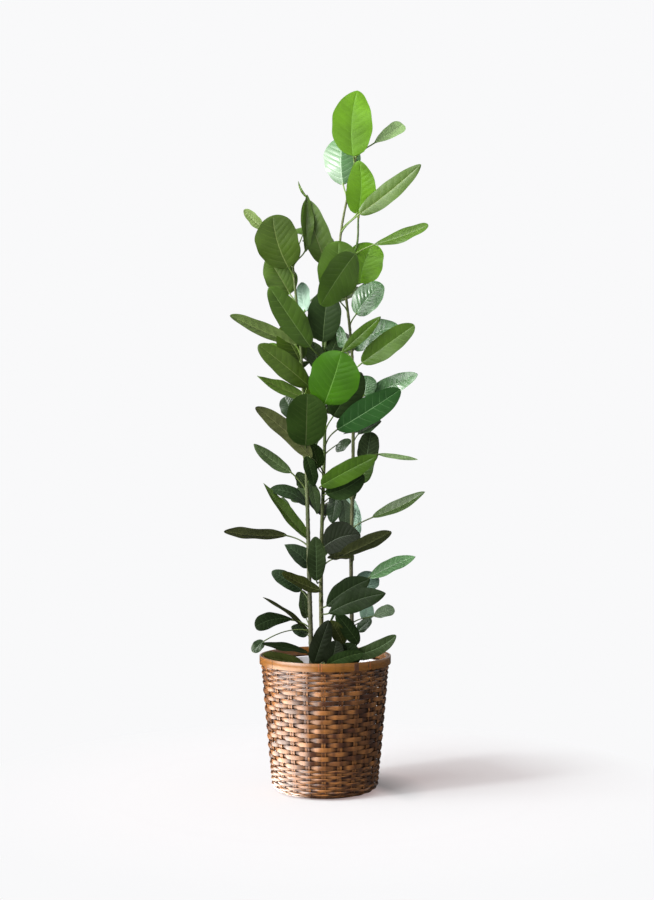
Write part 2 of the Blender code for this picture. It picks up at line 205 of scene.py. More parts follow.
# Across and up are where a leaf is seen in the stems' plane; its way back or forward is the line of sight
# Each row's tint is the leaf's green together with painted light or shade for where it stands, as LEAF_TINTS
# says
SEEN_ROWS = (
    # Top of the right stem
    ("ovate", "lime", "right", 16, (60, 1364, -8), (69, 1505, 12), 86, 0, 0.04, 6, 0.05),
    ("spatula", "pale", "right", 30, (104, 1391, 6), (168, 1432, 40), 36, 24, 0.0, 12, -0.01),
    ("egg", "sheen", "right", 34, (38, 1302, 18), (40, 1406, 50), 84, -10, 0.05, -14, 0.04),
    ("ovate", "lime", "right", 36, (70, 1239, -4), (73, 1354, -34), 63, -6, 0.03, 8, -0.06),
    ("ovate", "olive", "right", 38, (74, 1239, -22), (206, 1346, -48), 43, 8, 0.0, 10, -0.02),
    ("spoon", "leaf", "centre", 24, (104, 1173, -2), (222, 1215, -34), 40, 42, 0.0, 8, -0.03),
    ("round", "lime", "centre", 22, (75, 1090, 22), (101, 1176, 34), 82, 0, 0.03, 8, 0.04),
    ("round", "leaf", "right", 26, (27, 1056, -34), (29, 1181, -46), 88, 4, 0.05, 8),
    ("oblong", "leaf", "right", 20, (64, 1152, -62), (-9, 1043, -92), 80, -30, 0.07, 10, -0.05),
    # Upper left
    ("round", "moss", "left", 18, (-79, 1123, -36), (-113, 1236, -46), 94, 4, 0.03, 8, 0.06),
    ("oblong", "olive", "left", 24, (-133, 1208, 4), (-175, 1247, 28), 30, 140, 0.0, 10, 0.02, 10),
    ("narrow", "olive", "left", 30, (-42, 1157, -16), (-39, 1281, -14), 32, 30, 0.0, 34),
    ("narrow", "olive", "left", 120, (-34, 1270, 8), (-58, 1310, 10), 6, 0, 0.0, 10, 0.10),
    ("ovate", "olive", "centre", 22, (4, 1129, 2), (-41, 1271, -8), 62, 8, 0.02, 20, 0.03),
    ("ovate", "olive", "left", 24, (-76, 1066, -8), (-124, 1146, -14), 68, 8, 0.04, 14),
    ("ovate", "ice", "left", 20, (-43, 1028, 4), (-52, 1092, 28), 44, -32, 0.04, 8),
    ("oblong", "leaf", "centre", 32, (-32, 953, -52), (-120, 1081, -84), 62, 20, 0.04, 12, 0.02),
    ("oblong", "olive", "left", 28, (-60, 956, -20), (-205, 1021, -36), 46, 128, 0.0, 12, 0.01),
    ("ovate", "moss", "left", 22, (-54, 922, -14), (-96, 996, -20), 62, 14, 0.04),
    ("oblong", "moss", "left", 24, (-35, 868, -34), (-144, 957, -66), 54, 16, 0.04, 8),
    ("tailed", "olive", "left", 24, (-43, 843, -18), (-146, 891, -30), 48, 52, 0.0, 12, 0.03),
    ("round", "grey", "left", 20, (-66, 801, 22), (-88, 845, 34), 42, 0, 0.04, 8),
    # Left, middle heights
    ("oblong", "brown", "centre", 35, (-29, 714, -40), (-149, 824, -58), 48, 144, 0.0, 12, -0.03),
    ("narrow", "dusk", "left", 41, (-72, 682, -26), (-154, 744, -30), 30, 24, 0.0, 8, 0.04),
    ("ovate", "dusk", "left", 22, (-45, 650, -8), (-60, 683, -12), 34, 35, 0.04, 8),
    ("oblong", "grey", "left", 18, (-41, 614, -12), (-120, 645, -34), 40, 46, 0.03, 6, -0.1),
    ("tailed", "olive", "left", 22, (-36, 540, -24), (-133, 660, -48), 40, 50, 0.0, 18, 0.03),
    ("oblong", "brown", "left", 24, (-83, 548, -14), (-218, 556, -22), 56, 120, 0.0, 10, 0.03),
    ("tailed", "grey", "left", 20, (-32, 481, -18), (-88, 527, -30), 42, 26, 0.04, 8, -0.04),
    ("oblong", "grey", "left", 26, (-50, 429, -22), (-115, 469, -40), 36, 26, 0.04),
    ("oblong", "brown", "centre", 34, (-10, 428, -42), (-93, 466, -62), 42, 58, 0.0, 12, 0.04),
    ("ovate", "dusk", "left", 20, (-41, 368, -4), (-50, 429, -8), 34, 36),
    ("narrow", "brown", "left", 22, (-33, 339, -24), (-134, 414, -40), 28, 76, 0.0, 10, -0.03),
    ("spatula", "shade", "left", 20, (-68, 366, -30), (-151, 350, -66), 36, 30, 0.0, 8, -0.1),
    ("round", "grey", "left", -20, (-133, 320, -40), (-157, 296, -48), 24, 10),
    ("ovate", "grey", "left", 12, (-37, 334, -6), (-73, 350, -16), 28, 20),
    ("oblong", "shade", "left", 14, (-37, 295, -44), (-136, 313, -78), 30, 66, 0.0, 8, -0.01),
    ("round", "brown", "left", 10, (-44, 266, -40), (-137, 285, 2), 40, -24, 0.03, 6, -0.04),
    # Centre, from the round leaf down
    ("round", "spring", "centre", 26, (-2, 829, -64), (35, 942, -92), 106, 0, 0.04, 6, -0.02),
    ("round", "umber", "left", 24, (-42, 740, -52), (-39, 852, -78), 88, 6, 0.05, 8),
    ("round", "dim", "centre", 20, (-5, 963, -36), (6, 1073, -52), 74, 12, 0.05, 14),
    ("ovate", "dim", "centre", 18, (11, 935, 22), (34, 982, 48), 60, 25, 0.04, 8),
    ("ovate", "dusk", "centre", 18, (-14, 905, 10), (-30, 965, 20), 44, 20),
    ("ovate", "sheen", "right", 20, (45, 942, 16), (30, 998, 36), 26, -28, 0.04, 8),
    ("ovate", "umber", "centre", 20, (-15, 691, -16), (-28, 745, -22), 40, 28, 0.04, 8),
    ("ovate", "dim", "left", 16, (-41, 717, -40), (-24, 652, -50), 32, 30),
    ("narrow", "dusk", "left", 16, (-34, 670, -34), (-17, 592, -44), 28, 38),
    ("ovate", "grass", "centre", 22, (-8, 654, -66), (112, 718, -112), 46, -8, 0.06, 8, 0.02),
    ("oblong", "dim", "centre", 18, (2, 636, -50), (84, 676, -78), 46, -20, 0.04, 10, -0.06),
    ("ovate", "umber", "centre", 24, (76, 660, -24), (104, 722, -40), 38, 30, 0.04, 8),
    ("oblong", "deep", "centre", 18, (-19, 449, -62), (-21, 544, -84), 40, 6),
    ("ovate", "grey", "centre", 18, (24, 632, 4), (14, 573, 6), 32, 8, 0.04, 8),
    ("narrow", "frost", "centre", 16, (40, 625, 12), (44, 560, 16), 36, 20, 0.04, 8),
    ("ovate", "night", "centre", 18, (-2, 522, -30), (76, 548, -62), 72, 10, 0.02, 6, 0.1),
    ("oblong", "brown", "centre", 38, (34, 504, -50), (142, 556, -92), 52, 132, 0.0, 12, -0.02),
    ("oblong", "brown", "right", 22, (62, 500, -36), (5, 500, -58), 34, 122, 0.0, 10),
    ("lance", "shade", "centre", 20, (2, 394, -54), (96, 453, -92), 50, 4, 0.03, 10, 0.05),
    ("lance", "shade", "centre", 20, (6, 378, -62), (130, 422, -110), 46, 6, 0.02, 8, 0.05),
    ("oblong", "dim", "centre", 18, (72, 313, -34), (24, 378, -46), 36, 24, 0.05, 8),
    ("ovate", "brown", "centre", 14, (40, 312, -44), (11, 364, -56), 32, 18, 0.05, 8),
    ("oblong", "deep", "centre", 12, (48, 288, -62), (153, 331, -84), 32, 0, 0.0, 8, -0.09, 20),
    ("oblong", "dim", "centre", 8, (4, 268, -86), (82, 294, -112), 32, -14, 0.0, 8, 0.04),
    ("ovate", "night", "centre", 8, (-24, 270, -64), (8, 364, -70), 42, 4, 0.05, 8),
    ("round", "night", "centre", 8, (14, 262, -76), (24, 320, -84), 44, 8, 0.05, 8),
    ("round", "shade", "right", 8, (54, 262, -66), (46, 316, -76), 50, 10, 0.05, 8),
    # Right side, from the top down
    ("round", "sheen", "right", 28, (66, 1023, 16), (121, 1090, 9), 72, 33, 0.05, 8),
    ("narrow", "leaf", "centre", 24, (37, 942, -34), (120, 1018, -54), 28, -6, 0.0, 12),
    ("oblong", "sheen", "right", 24, (62, 949, 34), (160, 996, 6), 56, 24, 0.04, 10, 0.08),
    ("oblong", "leaf", "right", 20, (79, 918, -14), (192, 1000, -36), 50, 0, 0.02, 8),
    ("oblong", "blue", "centre", 37, (26, 775, -34), (162, 861, -64), 62, -20, 0.03, 8),
    ("round", "sheen", "right", 20, (84, 846, 24), (92, 891, 32), 46, 10, 0.05, 8),
    ("ovate", "sheen", "right", 20, (90, 844, 44), (199, 894, 4), 46, 20, 0.0),
    ("ovate", "dim", "centre", 34, (17, 803, -14), (78, 898, -16), 66, 0),
    ("narrow", "grey", "right", 20, (70, 766, -18), (121, 793, -30), 36, 56, 0.0, 8),
    ("round", "deep", "right", 20, (88, 696, 8), (98, 770, 18), 48, 10, 0.05, 8),
    ("oblong", "grey", "centre", 34, (54, 754, 0), (24, 727, -8), 26, 38, 0.04, 8),
    ("narrow", "pale", "right", 14, (112, 722, 2), (200, 710, 14), 11, 6, 0.0, 6),
    ("narrow", "dusk", "right", 28, (101, 586, -16), (215, 641, -28), 38, 50, 0.0, 16, -0.04),
    ("oblong", "ice", "right", 16, (52, 630, 34), (72, 548, 18), 40, -28, 0.05, 8),
    ("narrow", "sheen", "right", 22, (95, 456, 0), (194, 502, 8), 42, 48, 0.0, 12, 0.02),
    ("round", "teal", "right", 18, (88, 428, 10), (96, 470, 20), 50, 6, 0.04, 8),
    ("round", "ice", "right", 16, (86, 364, 8), (92, 402, 16), 38, -28, 0.04, 8),
    ("spoon", "frost", "right", 16, (104, 373, 0), (149, 389, 6), 30, 36, 0.0, 8, 0.02),
    ("oblong", "grey", "right", 12, (70, 340, -6), (99, 367, -14), 24, 16, 0.05, 8),
)
SEEN_LEAVES = tuple(SeenLeaf(*row) for row in SEEN_ROWS)

# Each tint: the upper face, the underside and the midrib, as a screen shows them. Besides each leaf's own
# green
# the tints carry painted light and shade: dim, deep, shade and night also paint the shade on leaves deep in
# the plant, lime also paints the light shining through the young top leaves, and pale, frost, teal, sheen and
# ice also paint the whitish sheen of leaves that mirror the bright room
LEAF_TINTS = {
    "lime": ((108, 158, 30), (126, 164, 56), (118, 166, 58)),
    "spring": ((66, 116, 16), (96, 134, 48), (104, 150, 58)),
    "grass": ((66, 98, 20), (86, 110, 44), (100, 136, 54)),
    "leaf": ((84, 118, 34), (96, 122, 50), (128, 158, 84)),
    "moss": ((78, 104, 30), (98, 114, 50), (122, 140, 72)),
    "olive": ((94, 124, 48), (112, 134, 68), (142, 156, 92)),
    "brown": ((62, 70, 28), (78, 84, 44), (112, 114, 70)),
    "umber": ((48, 72, 22), (60, 72, 32), (84, 98, 50)),
    "dusk": ((76, 98, 54), (88, 106, 66), (132, 152, 106)),
    "deep": ((50, 66, 34), (62, 80, 46), (96, 120, 78)),
    "dim": ((40, 60, 24), (52, 68, 34), (72, 94, 48)),
    "shade": ((29, 44, 17), (38, 52, 26), (54, 72, 40)),
    "night": ((22, 30, 12), (30, 40, 20), (44, 58, 32)),
    "grey": ((54, 74, 46), (72, 92, 62), (102, 124, 90)),
    "blue": ((56, 104, 46), (74, 110, 62), (138, 180, 120)),
    "frost": ((100, 120, 90), (106, 126, 94), (146, 164, 132)),
    "teal": ((82, 110, 92), (94, 118, 98), (134, 162, 142)),
    "sheen": ((106, 148, 98), (116, 152, 108), (186, 212, 178)),
    "pale": ((150, 182, 118), (152, 180, 120), (178, 200, 150)),
    "ice": ((168, 206, 178), (168, 200, 176), (200, 224, 206)),
}
PALE_VEINED = ("blue", "sheen", "frost", "teal")
GLOSSY = ("sheen",)
MATTE = ("brown", "umber", "deep", "dim", "shade", "night")

# Tints of the leaves that the rule grows, from the foot of a stem to its tip: darker low down, painted shade
# as well as older leaves, and paler up top, painted light as well as younger leaves
HIDDEN_TINTS = ("shade", "dim", "deep", "deep", "moss", "leaf", "leaf", "spring")


def screen(color):
    """A colour as a screen shows it, 0 to 255, as linear red, green and blue."""
    shares = [part / 255 for part in color]
    return tuple(s / 12.92 if s <= 0.04045 else ((s + 0.055) / 1.055) ** 2.4 for s in shares)


def color_property(name, color, description):
    return FloatVectorProperty(
        name=name, description=description, subtype="COLOR", size=3, min=0, max=1, default=screen(color)
    )


def length_property(name, millimetres, description):
    return FloatProperty(name=name, description=description, default=millimetres * MM, unit="LENGTH")


def angle_property(name, radians, description):
    return FloatProperty(name=name, description=description, default=radians, unit="ROTATION")


def number_property(name, number, description):
    return FloatProperty(name=name, description=description, default=number)


def count_property(name, count, description):
    return IntProperty(name=name, description=description, default=count)


class FigLeafSettings(bpy.types.PropertyGroup):
    """Sizes and rules of the leaves and their stalks."""

    thickness: length_property("Blade thickness", 0.5, "Thickness of a blade between its veins")
    midrib: length_property("Midrib depth", 1.5, "How far the midrib stands out below the blade at its base")
    vein_width: length_property("Vein width", 1.1, "Width of a side vein where it leaves the midrib")
    quilting: length_property("Quilting", 0.45, "How far the blade bulges between two side veins")
    waviness: length_property("Waviness", 1.9, "Swing of the wavy margin")
    stalk_width: length_property("Stalk width", 3.6, "Width of a leaf stalk")
    spacing: length_property("Node spacing", 12.0, "Height between two leaf buds on a stem")
    clearance: length_property("Clearance", 9.0, "Least room between two leaves that the rule grows")
    seed: count_property("Seed", 7, "Start of the random draws")


class FigBasketSettings(bpy.types.PropertyGroup):
    """Sizes and colours of the woven basket, its hoop and the pot inside."""

    uprights: count_property("Uprights", 22, "Number of upright pairs of splints, even")
    foot_rows: count_property("Foot rows", 14, "Narrow rows at the foot")
    wide_rows: count_property("Wide rows", 17, "Wide rows up the side")
    top_rows: count_property("Top rows", 8, "Narrow rows below the hoop")
    foot_pitch: length_property("Foot pitch", 5.7, "Height of a row at the foot")
    wide_pitch: length_property("Wide pitch", 9.8, "Height of a wide row")
    swing: length_property("Swing", 2.5, "How far a weaver swings in and out")
    strip: length_property("Strip thickness", 1.0, "Thickness of the weavers")
    splint_width: length_property("Splint width", 4.5, "Width of one upright splint")
    light: color_property("Light bamboo", (144, 92, 46), "The palest strips")
    middle: color_property("Middle bamboo", (70, 40, 24), "Most strips")
    # Dark bamboo also colours the painted shade deep in the grooves and gaps of the weave
    dark: color_property("Dark bamboo", (30, 17, 12), "Stained strips and the grooves")
    hoop: color_property("Hoop bamboo", (122, 76, 25), "The hoop's bands")
    plastic: color_property("Pot plastic", (236, 234, 238), "The nursery pot")
    soil: color_property("Soil", (58, 44, 34), "The potting soil")


class FigStageSettings(bpy.types.PropertyGroup):
    """Camera, light and floor."""

    distance: length_property("Camera distance", 3230.0, "From the stems' plane to the camera")
    height: length_property("Camera height", 730.6, "Above the floor")
    across: length_property("Camera across", 3.9, "To the right of the basket's axis")
    lens: number_property("Lens", 60.0, "Focal length in millimetres")
    sun_height: angle_property("Key height", 0.50, "Angle of the key light above the floor")
    sun_side: angle_property("Key side", 0.50, "Angle that the shadow makes with straight right")
    sun_spread: angle_property("Key spread", 0.16, "Width of the key light as an angle")
    sun_strength: number_property("Key strength", 2.0, "Strength of the key light")
    window_side: angle_property("Window side", 0.50, "Angle of the window's light with straight right")
    window_strength: number_property("Window strength", 9.0, "Light from the tall window")
    sky_strength: number_property("Room strength", 0.45, "Light from the white room")
    backdrop: color_property("Backdrop", (249, 249, 250), "Backdrop and far floor as the camera sees them")
    floor: color_property("Floor", (168, 175, 177), "The floor as it lights the object")
    glow: number_property("Floor glow", 0.33, "How much paler the camera sees the floor")
    # Floor shine and shine side set a glowing patch of floor that only mirrors see, a painted reflection on
    # the weave
    floor_shine: number_property("Floor shine", 10.5, "How bright the sunlit floor is in what mirrors it")
    shine_side: angle_property("Shine side", 1.20, "Angle of that sunlit floor left of the camera")


# Small helpers for meshes and selection


def only(piece):
    """Makes piece the one selected and active object."""
    bpy.ops.object.select_all(action="DESELECT")
    piece.select_set(True)
    bpy.context.view_layer.objects.active = piece


def select_vertices(piece, wanted):
    """In edit mode, selects the vertices whose place passes wanted, and returns how many."""
    shape = bmesh.from_edit_mesh(piece.data)
    count = 0
    for vertex in shape.verts:
        vertex.select = bool(wanted(vertex.co))
        count += vertex.select
    shape.select_flush_mode()
    bmesh.update_edit_mesh(piece.data)
    return count


def settle(piece):
    """Moves the object's place into its mesh."""
    only(piece)
    bpy.ops.object.transform_apply(location=True, rotation=True, scale=True)


def add_circle(sides, radius, height):
    """An open level circle about the basket's axis, the start of a band or a turned piece."""
    bpy.ops.object.select_all(action="DESELECT")
    bpy.ops.mesh.primitive_circle_add(vertices=sides, radius=radius, location=(0, 0, height))
    circle = bpy.context.view_layer.objects.active
    settle(circle)
    return circle


def add_modifier(piece, kind, **settings):
    modifier = piece.modifiers.new(kind.title(), kind)
    for name, value in settings.items():
        setattr(modifier, name, value)
    return modifier


def apply_modifiers(piece):
    only(piece)
    for modifier in list(piece.modifiers):
        bpy.ops.object.modifier_apply(modifier=modifier.name)


def smooth(piece, angle):
    only(piece)
    bpy.ops.object.shade_smooth_by_angle(angle=math.radians(angle))


def turned_copy(piece, angle, name):
    """A copy with its own mesh, turned about the basket's axis."""
    copy = piece.copy()
    copy.data = piece.data.copy()
    copy.name = name
    bpy.context.scene.collection.objects.link(copy)
    copy.rotation_euler = (0, 0, angle)
    settle(copy)
    return copy


def join(pieces, name):
    bpy.ops.object.select_all(action="DESELECT")
    for piece in pieces:
        piece.select_set(True)
    bpy.context.view_layer.objects.active = pieces[0]
    if len(pieces) > 1:
        bpy.ops.object.join()
    joined = bpy.context.view_layer.objects.active
    joined.name = name
    joined.data.name = name
    return joined


def dress(piece, materials, nodes=()):
    """Gives a finished piece its materials and tells the frame what it stands for."""
    piece.data.materials.clear()
    for material in materials:
        piece.data.materials.append(material)
    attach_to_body(piece, ROOT)
    if nodes:
        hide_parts(*nodes)
    return piece


def mesh_piece(name, points, faces, face_materials=None):
    """One joined piece from arrays, for many small things."""
    mesh = bpy.data.meshes.new(name)
    mesh.from_pydata(points, [], faces)
    if face_materials is not None:
        mesh.polygons.foreach_set("material_index", face_materials)
    mesh.polygons.foreach_set("use_smooth", np.ones(len(mesh.polygons), bool))
    mesh.update()
    piece = bpy.data.objects.new(name, mesh)
    bpy.context.scene.collection.objects.link(piece)
    return piece


def smooth_line(points, count):
    """Evenly numbered points on one smooth curve through all the given ones."""
    points = [Vector(point) for point in points]
    ends = [points[0] * 2 - points[1], *points, points[-1] * 2 - points[-2]]
    line = []
    for step in range(count + 1):
        place = step / count * (len(points) - 1)
        span = min(int(place), len(points) - 2)
        t = place - span
        before, start, end, after = ends[span : span + 4]
        line.append(
            start
            + (end - before) * (t / 2)
            + (before * 2 - start * 5 + end * 4 - after) * (t * t / 2)
            + (start * 3 - before - end * 3 + after) * (t**3 / 2)
        )
    return line


# Materials


class Tree:
    """Adds and links the nodes of one material or node group."""

    def __init__(self, tree):
        self.tree = tree

    def add(self, kind, **settings):
        node = self.tree.nodes.new(kind)
        for name, value in settings.items():
            setattr(node, name, value)
        return node

    def link(self, output, node, socket):
        self.tree.links.new(output, node.inputs[socket])

    def math(self, operation, first, second=None):
        node = self.add("ShaderNodeMath", operation=operation)
        for number, value in enumerate((first, second)):
            if value is None:
                continue
            if isinstance(value, (int, float)):
                node.inputs[number].default_value = value
            else:
                self.link(value, node, number)
        return node.outputs[0]

    def noise(self, vector, scale, detail=3.0):
        node = self.add("ShaderNodeTexNoise")
        node.inputs["Scale"].default_value = scale
        node.inputs["Detail"].default_value = detail
        node.inputs["Roughness"].default_value = 0.55
        self.link(vector, node, "Vector")
        return node.outputs["Fac"]

    def mix(self, factor, first, second):
        """A colour between two; each may be a colour or another node's output."""
        node = self.add("ShaderNodeMix", data_type="RGBA")
        self.tree.links.new(factor, node.inputs[0])
        for number, value in ((6, first), (7, second)):
            if isinstance(value, tuple):
                node.inputs[number].default_value = (*value, 1)
            else:
                self.tree.links.new(value, node.inputs[number])
        return node.outputs[2]

    def range(self, value, low, high, to_low=0.0, to_high=1.0):
        node = self.add("ShaderNodeMapRange")
        self.link(value, node, "Value")
        limits = {"From Min": low, "From Max": high, "To Min": to_low, "To Max": to_high}
        for name, number in limits.items():
            node.inputs[name].default_value = number
        return node.outputs[0]

    def combine(self, *parts):
        node = self.add("ShaderNodeCombineXYZ")
        for number, part in enumerate(parts):
            if isinstance(part, (int, float)):
                node.inputs[number].default_value = part
            else:
                self.link(part, node, number)
        return node.outputs[0]


def new_group(name, inputs, outputs):
    """A shader node group with named sockets. inputs are (name, kind, default), outputs (name, kind)."""
    group = bpy.data.node_groups.new(name, "ShaderNodeTree")
    for socket, kind, default in inputs:
        made = group.interface.new_socket(name=socket, in_out="INPUT", socket_type=kind)
        if default is not None:
            made.default_value = default
    for socket, kind in outputs:
        group.interface.new_socket(name=socket, in_out="OUTPUT", socket_type=kind)
    tree = Tree(group)
    return tree, tree.add("NodeGroupInput"), tree.add("NodeGroupOutput")


COLOR, FLOAT, VECTOR = "NodeSocketColor", "NodeSocketFloat", "NodeSocketVector"

# How deep below the basket's side the painted shade of a groove starts, and where it is darkest
GROOVE_STARTS = 0.0014
GROOVE_DARKEST = 0.0040

# Bark: its dark streaks, its pale cloudy patches and its breathing spots
BARK_STREAK = (54, 46, 30)
BARK_CLOUD = (128, 124, 92)
BARK_SPOT = (176, 164, 126)


def make_mottle_group():
    """Soft cloudy change of tone with a fine grain, for leaves, stalks, soil and plastic."""
    tree, inner, outer = new_group(
        "Mottle",
        (
            ("Vector", VECTOR, None),
            ("Color", COLOR, (0.1, 0.2, 0.05, 1)),
            ("Other Color", COLOR, (0.05, 0.1, 0.02, 1)),
            ("Cloud Scale", FLOAT, 30.0),
            ("Grain Scale", FLOAT, 900.0),
        ),
        (("Color", COLOR), ("Roughness", FLOAT), ("Height", FLOAT)),
    )
    cloud = tree.add("ShaderNodeTexNoise")
    cloud.inputs["Detail"].default_value = 3
    grain = tree.add("ShaderNodeTexNoise")
    grain.inputs["Detail"].default_value = 2
    for node, scale in ((cloud, "Cloud Scale"), (grain, "Grain Scale")):
        tree.link(inner.outputs["Vector"], node, "Vector")
        tree.link(inner.outputs[scale], node, "Scale")
    share = tree.range(cloud.outputs["Fac"], 0.32, 0.68)
    tree.link(tree.mix(share, inner.outputs["Color"], inner.outputs["Other Color"]), outer, "Color")
    tree.link(tree.range(cloud.outputs["Fac"], 0.3, 0.7, -0.06, 0.06), outer, "Roughness")
    tree.link(grain.outputs["Fac"], outer, "Height")
    return tree.tree


def make_bamboo_group():
    """Bamboo strip: long fibres, a tone of its own for each strip, stains, and painted shade that darkens the
    grooves.
    """
    tree, inner, outer = new_group(
        "Bamboo",
        (
            ("Along", FLOAT, 0.0),
            ("Across", FLOAT, 0.0),
            ("Strip", FLOAT, 0.0),
            ("Depth", FLOAT, 0.0),
            ("Light", COLOR, (0.6, 0.3, 0.1, 1)),
            ("Middle", COLOR, (0.35, 0.14, 0.04, 1)),
            ("Dark", COLOR, (0.1, 0.03, 0.01, 1)),
        ),
        (("Color", COLOR), ("Roughness", FLOAT), ("Height", FLOAT), ("Open", FLOAT)),
    )
    along, across, strip = (inner.outputs[name] for name in ("Along", "Across", "Strip"))
    own = tree.math("MULTIPLY", strip, 3.7)
    fibre = tree.noise(tree.combine(tree.math("MULTIPLY", along, 0.10), across, strip), 900.0, 2.0)
    tone = tree.noise(tree.combine(tree.math("MULTIPLY", along, 30.0), own, 0.0), 1.0, 2.0)
    stain = tree.noise(tree.combine(tree.math("MULTIPLY", along, 70.0), own, 4.0), 1.0, 3.0)
    pale = tree.mix(tree.range(tone, 0.40, 0.62), inner.outputs["Middle"], inner.outputs["Light"])
    lined = tree.mix(tree.range(fibre, 0.40, 0.75, 0.0, 0.40), pale, inner.outputs["Dark"])
    stained = tree.mix(tree.range(stain, 0.55, 0.72, 0.0, 0.70), lined, inner.outputs["Dark"])
    # Painted shade: deep below the basket's side the colour falls to a fifth in the grooves and gaps, and
    # Open takes the varnish off there
    groove = tree.add("ShaderNodeHueSaturation")
    groove.inputs["Value"].default_value = 0.22
    tree.link(stained, groove, "Color")
    sunk = tree.range(inner.outputs["Depth"], GROOVE_STARTS, GROOVE_DARKEST, 0.0, 0.92)
    tree.link(tree.mix(sunk, stained, groove.outputs[0]), outer, "Color")
    tree.link(tree.math("SUBTRACT", 1.0, sunk), outer, "Open")
    rough_fibre = tree.range(fibre, 0.3, 0.7, 0.0, 0.14)
    tree.link(tree.math("ADD", rough_fibre, tree.math("MULTIPLY", sunk, 0.5)), outer, "Roughness")
    tree.link(fibre, outer, "Height")
    return tree.tree


def make_basket_place_group():
    """Where a point lies on the basket: round it and up it in metres, and how deep below its side."""
    tree, inner, outer = new_group(
        "Basket Place",
        (("Vector", VECTOR, None),),
        (("Round", FLOAT), ("Up", FLOAT), ("Depth", FLOAT)),
    )
    parts = tree.add("ShaderNodeSeparateXYZ")
    tree.link(inner.outputs["Vector"], parts, "Vector")
    x, y, z = (parts.outputs[number] for number in range(3))
    flat = tree.add("ShaderNodeVectorMath", operation="LENGTH")
    tree.link(tree.combine(x, y, 0.0), flat, 0)
    low = tree.math("MAXIMUM", tree.math("SUBTRACT", 1.0, tree.math("DIVIDE", z, FOOT_ROUNDING)), 0.0)
    square = tree.math("SUBTRACT", 1.0, tree.math("MULTIPLY", low, low))
    arc = tree.math("SQRT", tree.math("MAXIMUM", square, 0.0))
    foot = tree.math("ADD", tree.math("MULTIPLY", arc, FOOT_RADIUS - BASE_RADIUS), BASE_RADIUS)
    flare = (BASKET_TOP_RADIUS - FOOT_RADIUS) / (BASKET_TOP - FOOT_ROUNDING)
    rise = tree.math("MULTIPLY", tree.math("MAXIMUM", tree.math("SUBTRACT", z, FOOT_ROUNDING), 0.0), flare)
    side = tree.math("ADD", foot, rise)
    tree.link(tree.math("MULTIPLY", tree.math("ARCTAN2", y, x), BASKET_TOP_RADIUS), outer, "Round")
    tree.link(z, outer, "Up")
    tree.link(tree.math("SUBTRACT", side, flat.outputs["Value"]), outer, "Depth")
    return tree.tree


def make_bark_group():
    """Thin young bark: lengthwise streaks, pale breathing spots and a change of colour up the stem."""
    tree, inner, outer = new_group(
        "Bark",
        (
            ("Vector", VECTOR, None),
            ("Low Color", COLOR, (0.2, 0.15, 0.08, 1)),
            ("High Color", COLOR, (0.1, 0.2, 0.04, 1)),
            ("Low", FLOAT, 0.3),
            ("High", FLOAT, 0.9),
        ),
        (("Color", COLOR), ("Height", FLOAT)),
    )
    vector = inner.outputs["Vector"]
    parts = tree.add("ShaderNodeSeparateXYZ")
    tree.link(vector, parts, "Vector")
    rise = tree.add("ShaderNodeMapRange")
    tree.link(parts.outputs[2], rise, "Value")
    tree.link(inner.outputs["Low"], rise, "From Min")
    tree.link(inner.outputs["High"], rise, "From Max")
    flat = tree.combine(parts.outputs[0], parts.outputs[1], tree.math("MULTIPLY", parts.outputs[2], 0.12))
    streak = tree.noise(flat, 700.0, 3.0)
    blotch = tree.noise(vector, 60.0, 3.0)
    spots = tree.add("ShaderNodeTexVoronoi")
    spots.inputs["Scale"].default_value = 230
    tree.link(vector, spots, "Vector")
    spot = tree.range(spots.outputs["Distance"], 0.10, 0.22, 1.0, 0.0)
    base = tree.mix(rise.outputs[0], inner.outputs["Low Color"], inner.outputs["High Color"])
    streaked = tree.mix(tree.range(streak, 0.4, 0.75, 0.0, 0.45), base, screen(BARK_STREAK))
    cloudy = tree.mix(tree.range(blotch, 0.45, 0.75, 0.0, 0.25), streaked, screen(BARK_CLOUD))
    spotted = tree.mix(tree.math("MULTIPLY", spot, 0.30), cloudy, screen(BARK_SPOT))
    tree.link(spotted, outer, "Color")
    tree.link(tree.math("ADD", streak, spot), outer, "Height")
    return tree.tree


def new_material(name, roughness, specular):
    """A material with its Principled shader and object coordinates ready."""
    material = bpy.data.materials.new(name)
    material.use_nodes = True
    tree = Tree(material.node_tree)
    shader = material.node_tree.nodes["Principled BSDF"]
    shader.inputs["Roughness"].default_value = roughness
    shader.inputs["Specular IOR Level"].default_value = specular
    place = tree.add("ShaderNodeTexCoord").outputs["Object"]
    return material, tree, shader, place


def bump(tree, height, shader, depth, strength=1.0):
    node = tree.add("ShaderNodeBump")
    node.inputs["Strength"].default_value = strength
    node.inputs["Distance"].default_value = depth
    tree.link(height, node, "Height")
    tree.link(node.outputs[0], shader, "Normal")


def place_group(tree, group, **values):
    """Puts a node group in a material. Underlines in a name stand for spaces; colours are plain tuples."""
    node = tree.add("ShaderNodeGroup", node_tree=group)
    for name, value in values.items():
        socket = node.inputs[name.replace("_", " ")]
        if isinstance(value, bpy.types.NodeSocket):
            tree.tree.links.new(value, socket)
        elif isinstance(value, tuple):
            socket.default_value = (*value, 1)
        else:
            socket.default_value = value
    return node


def shaded(color, share):
    return tuple(part * share for part in color)


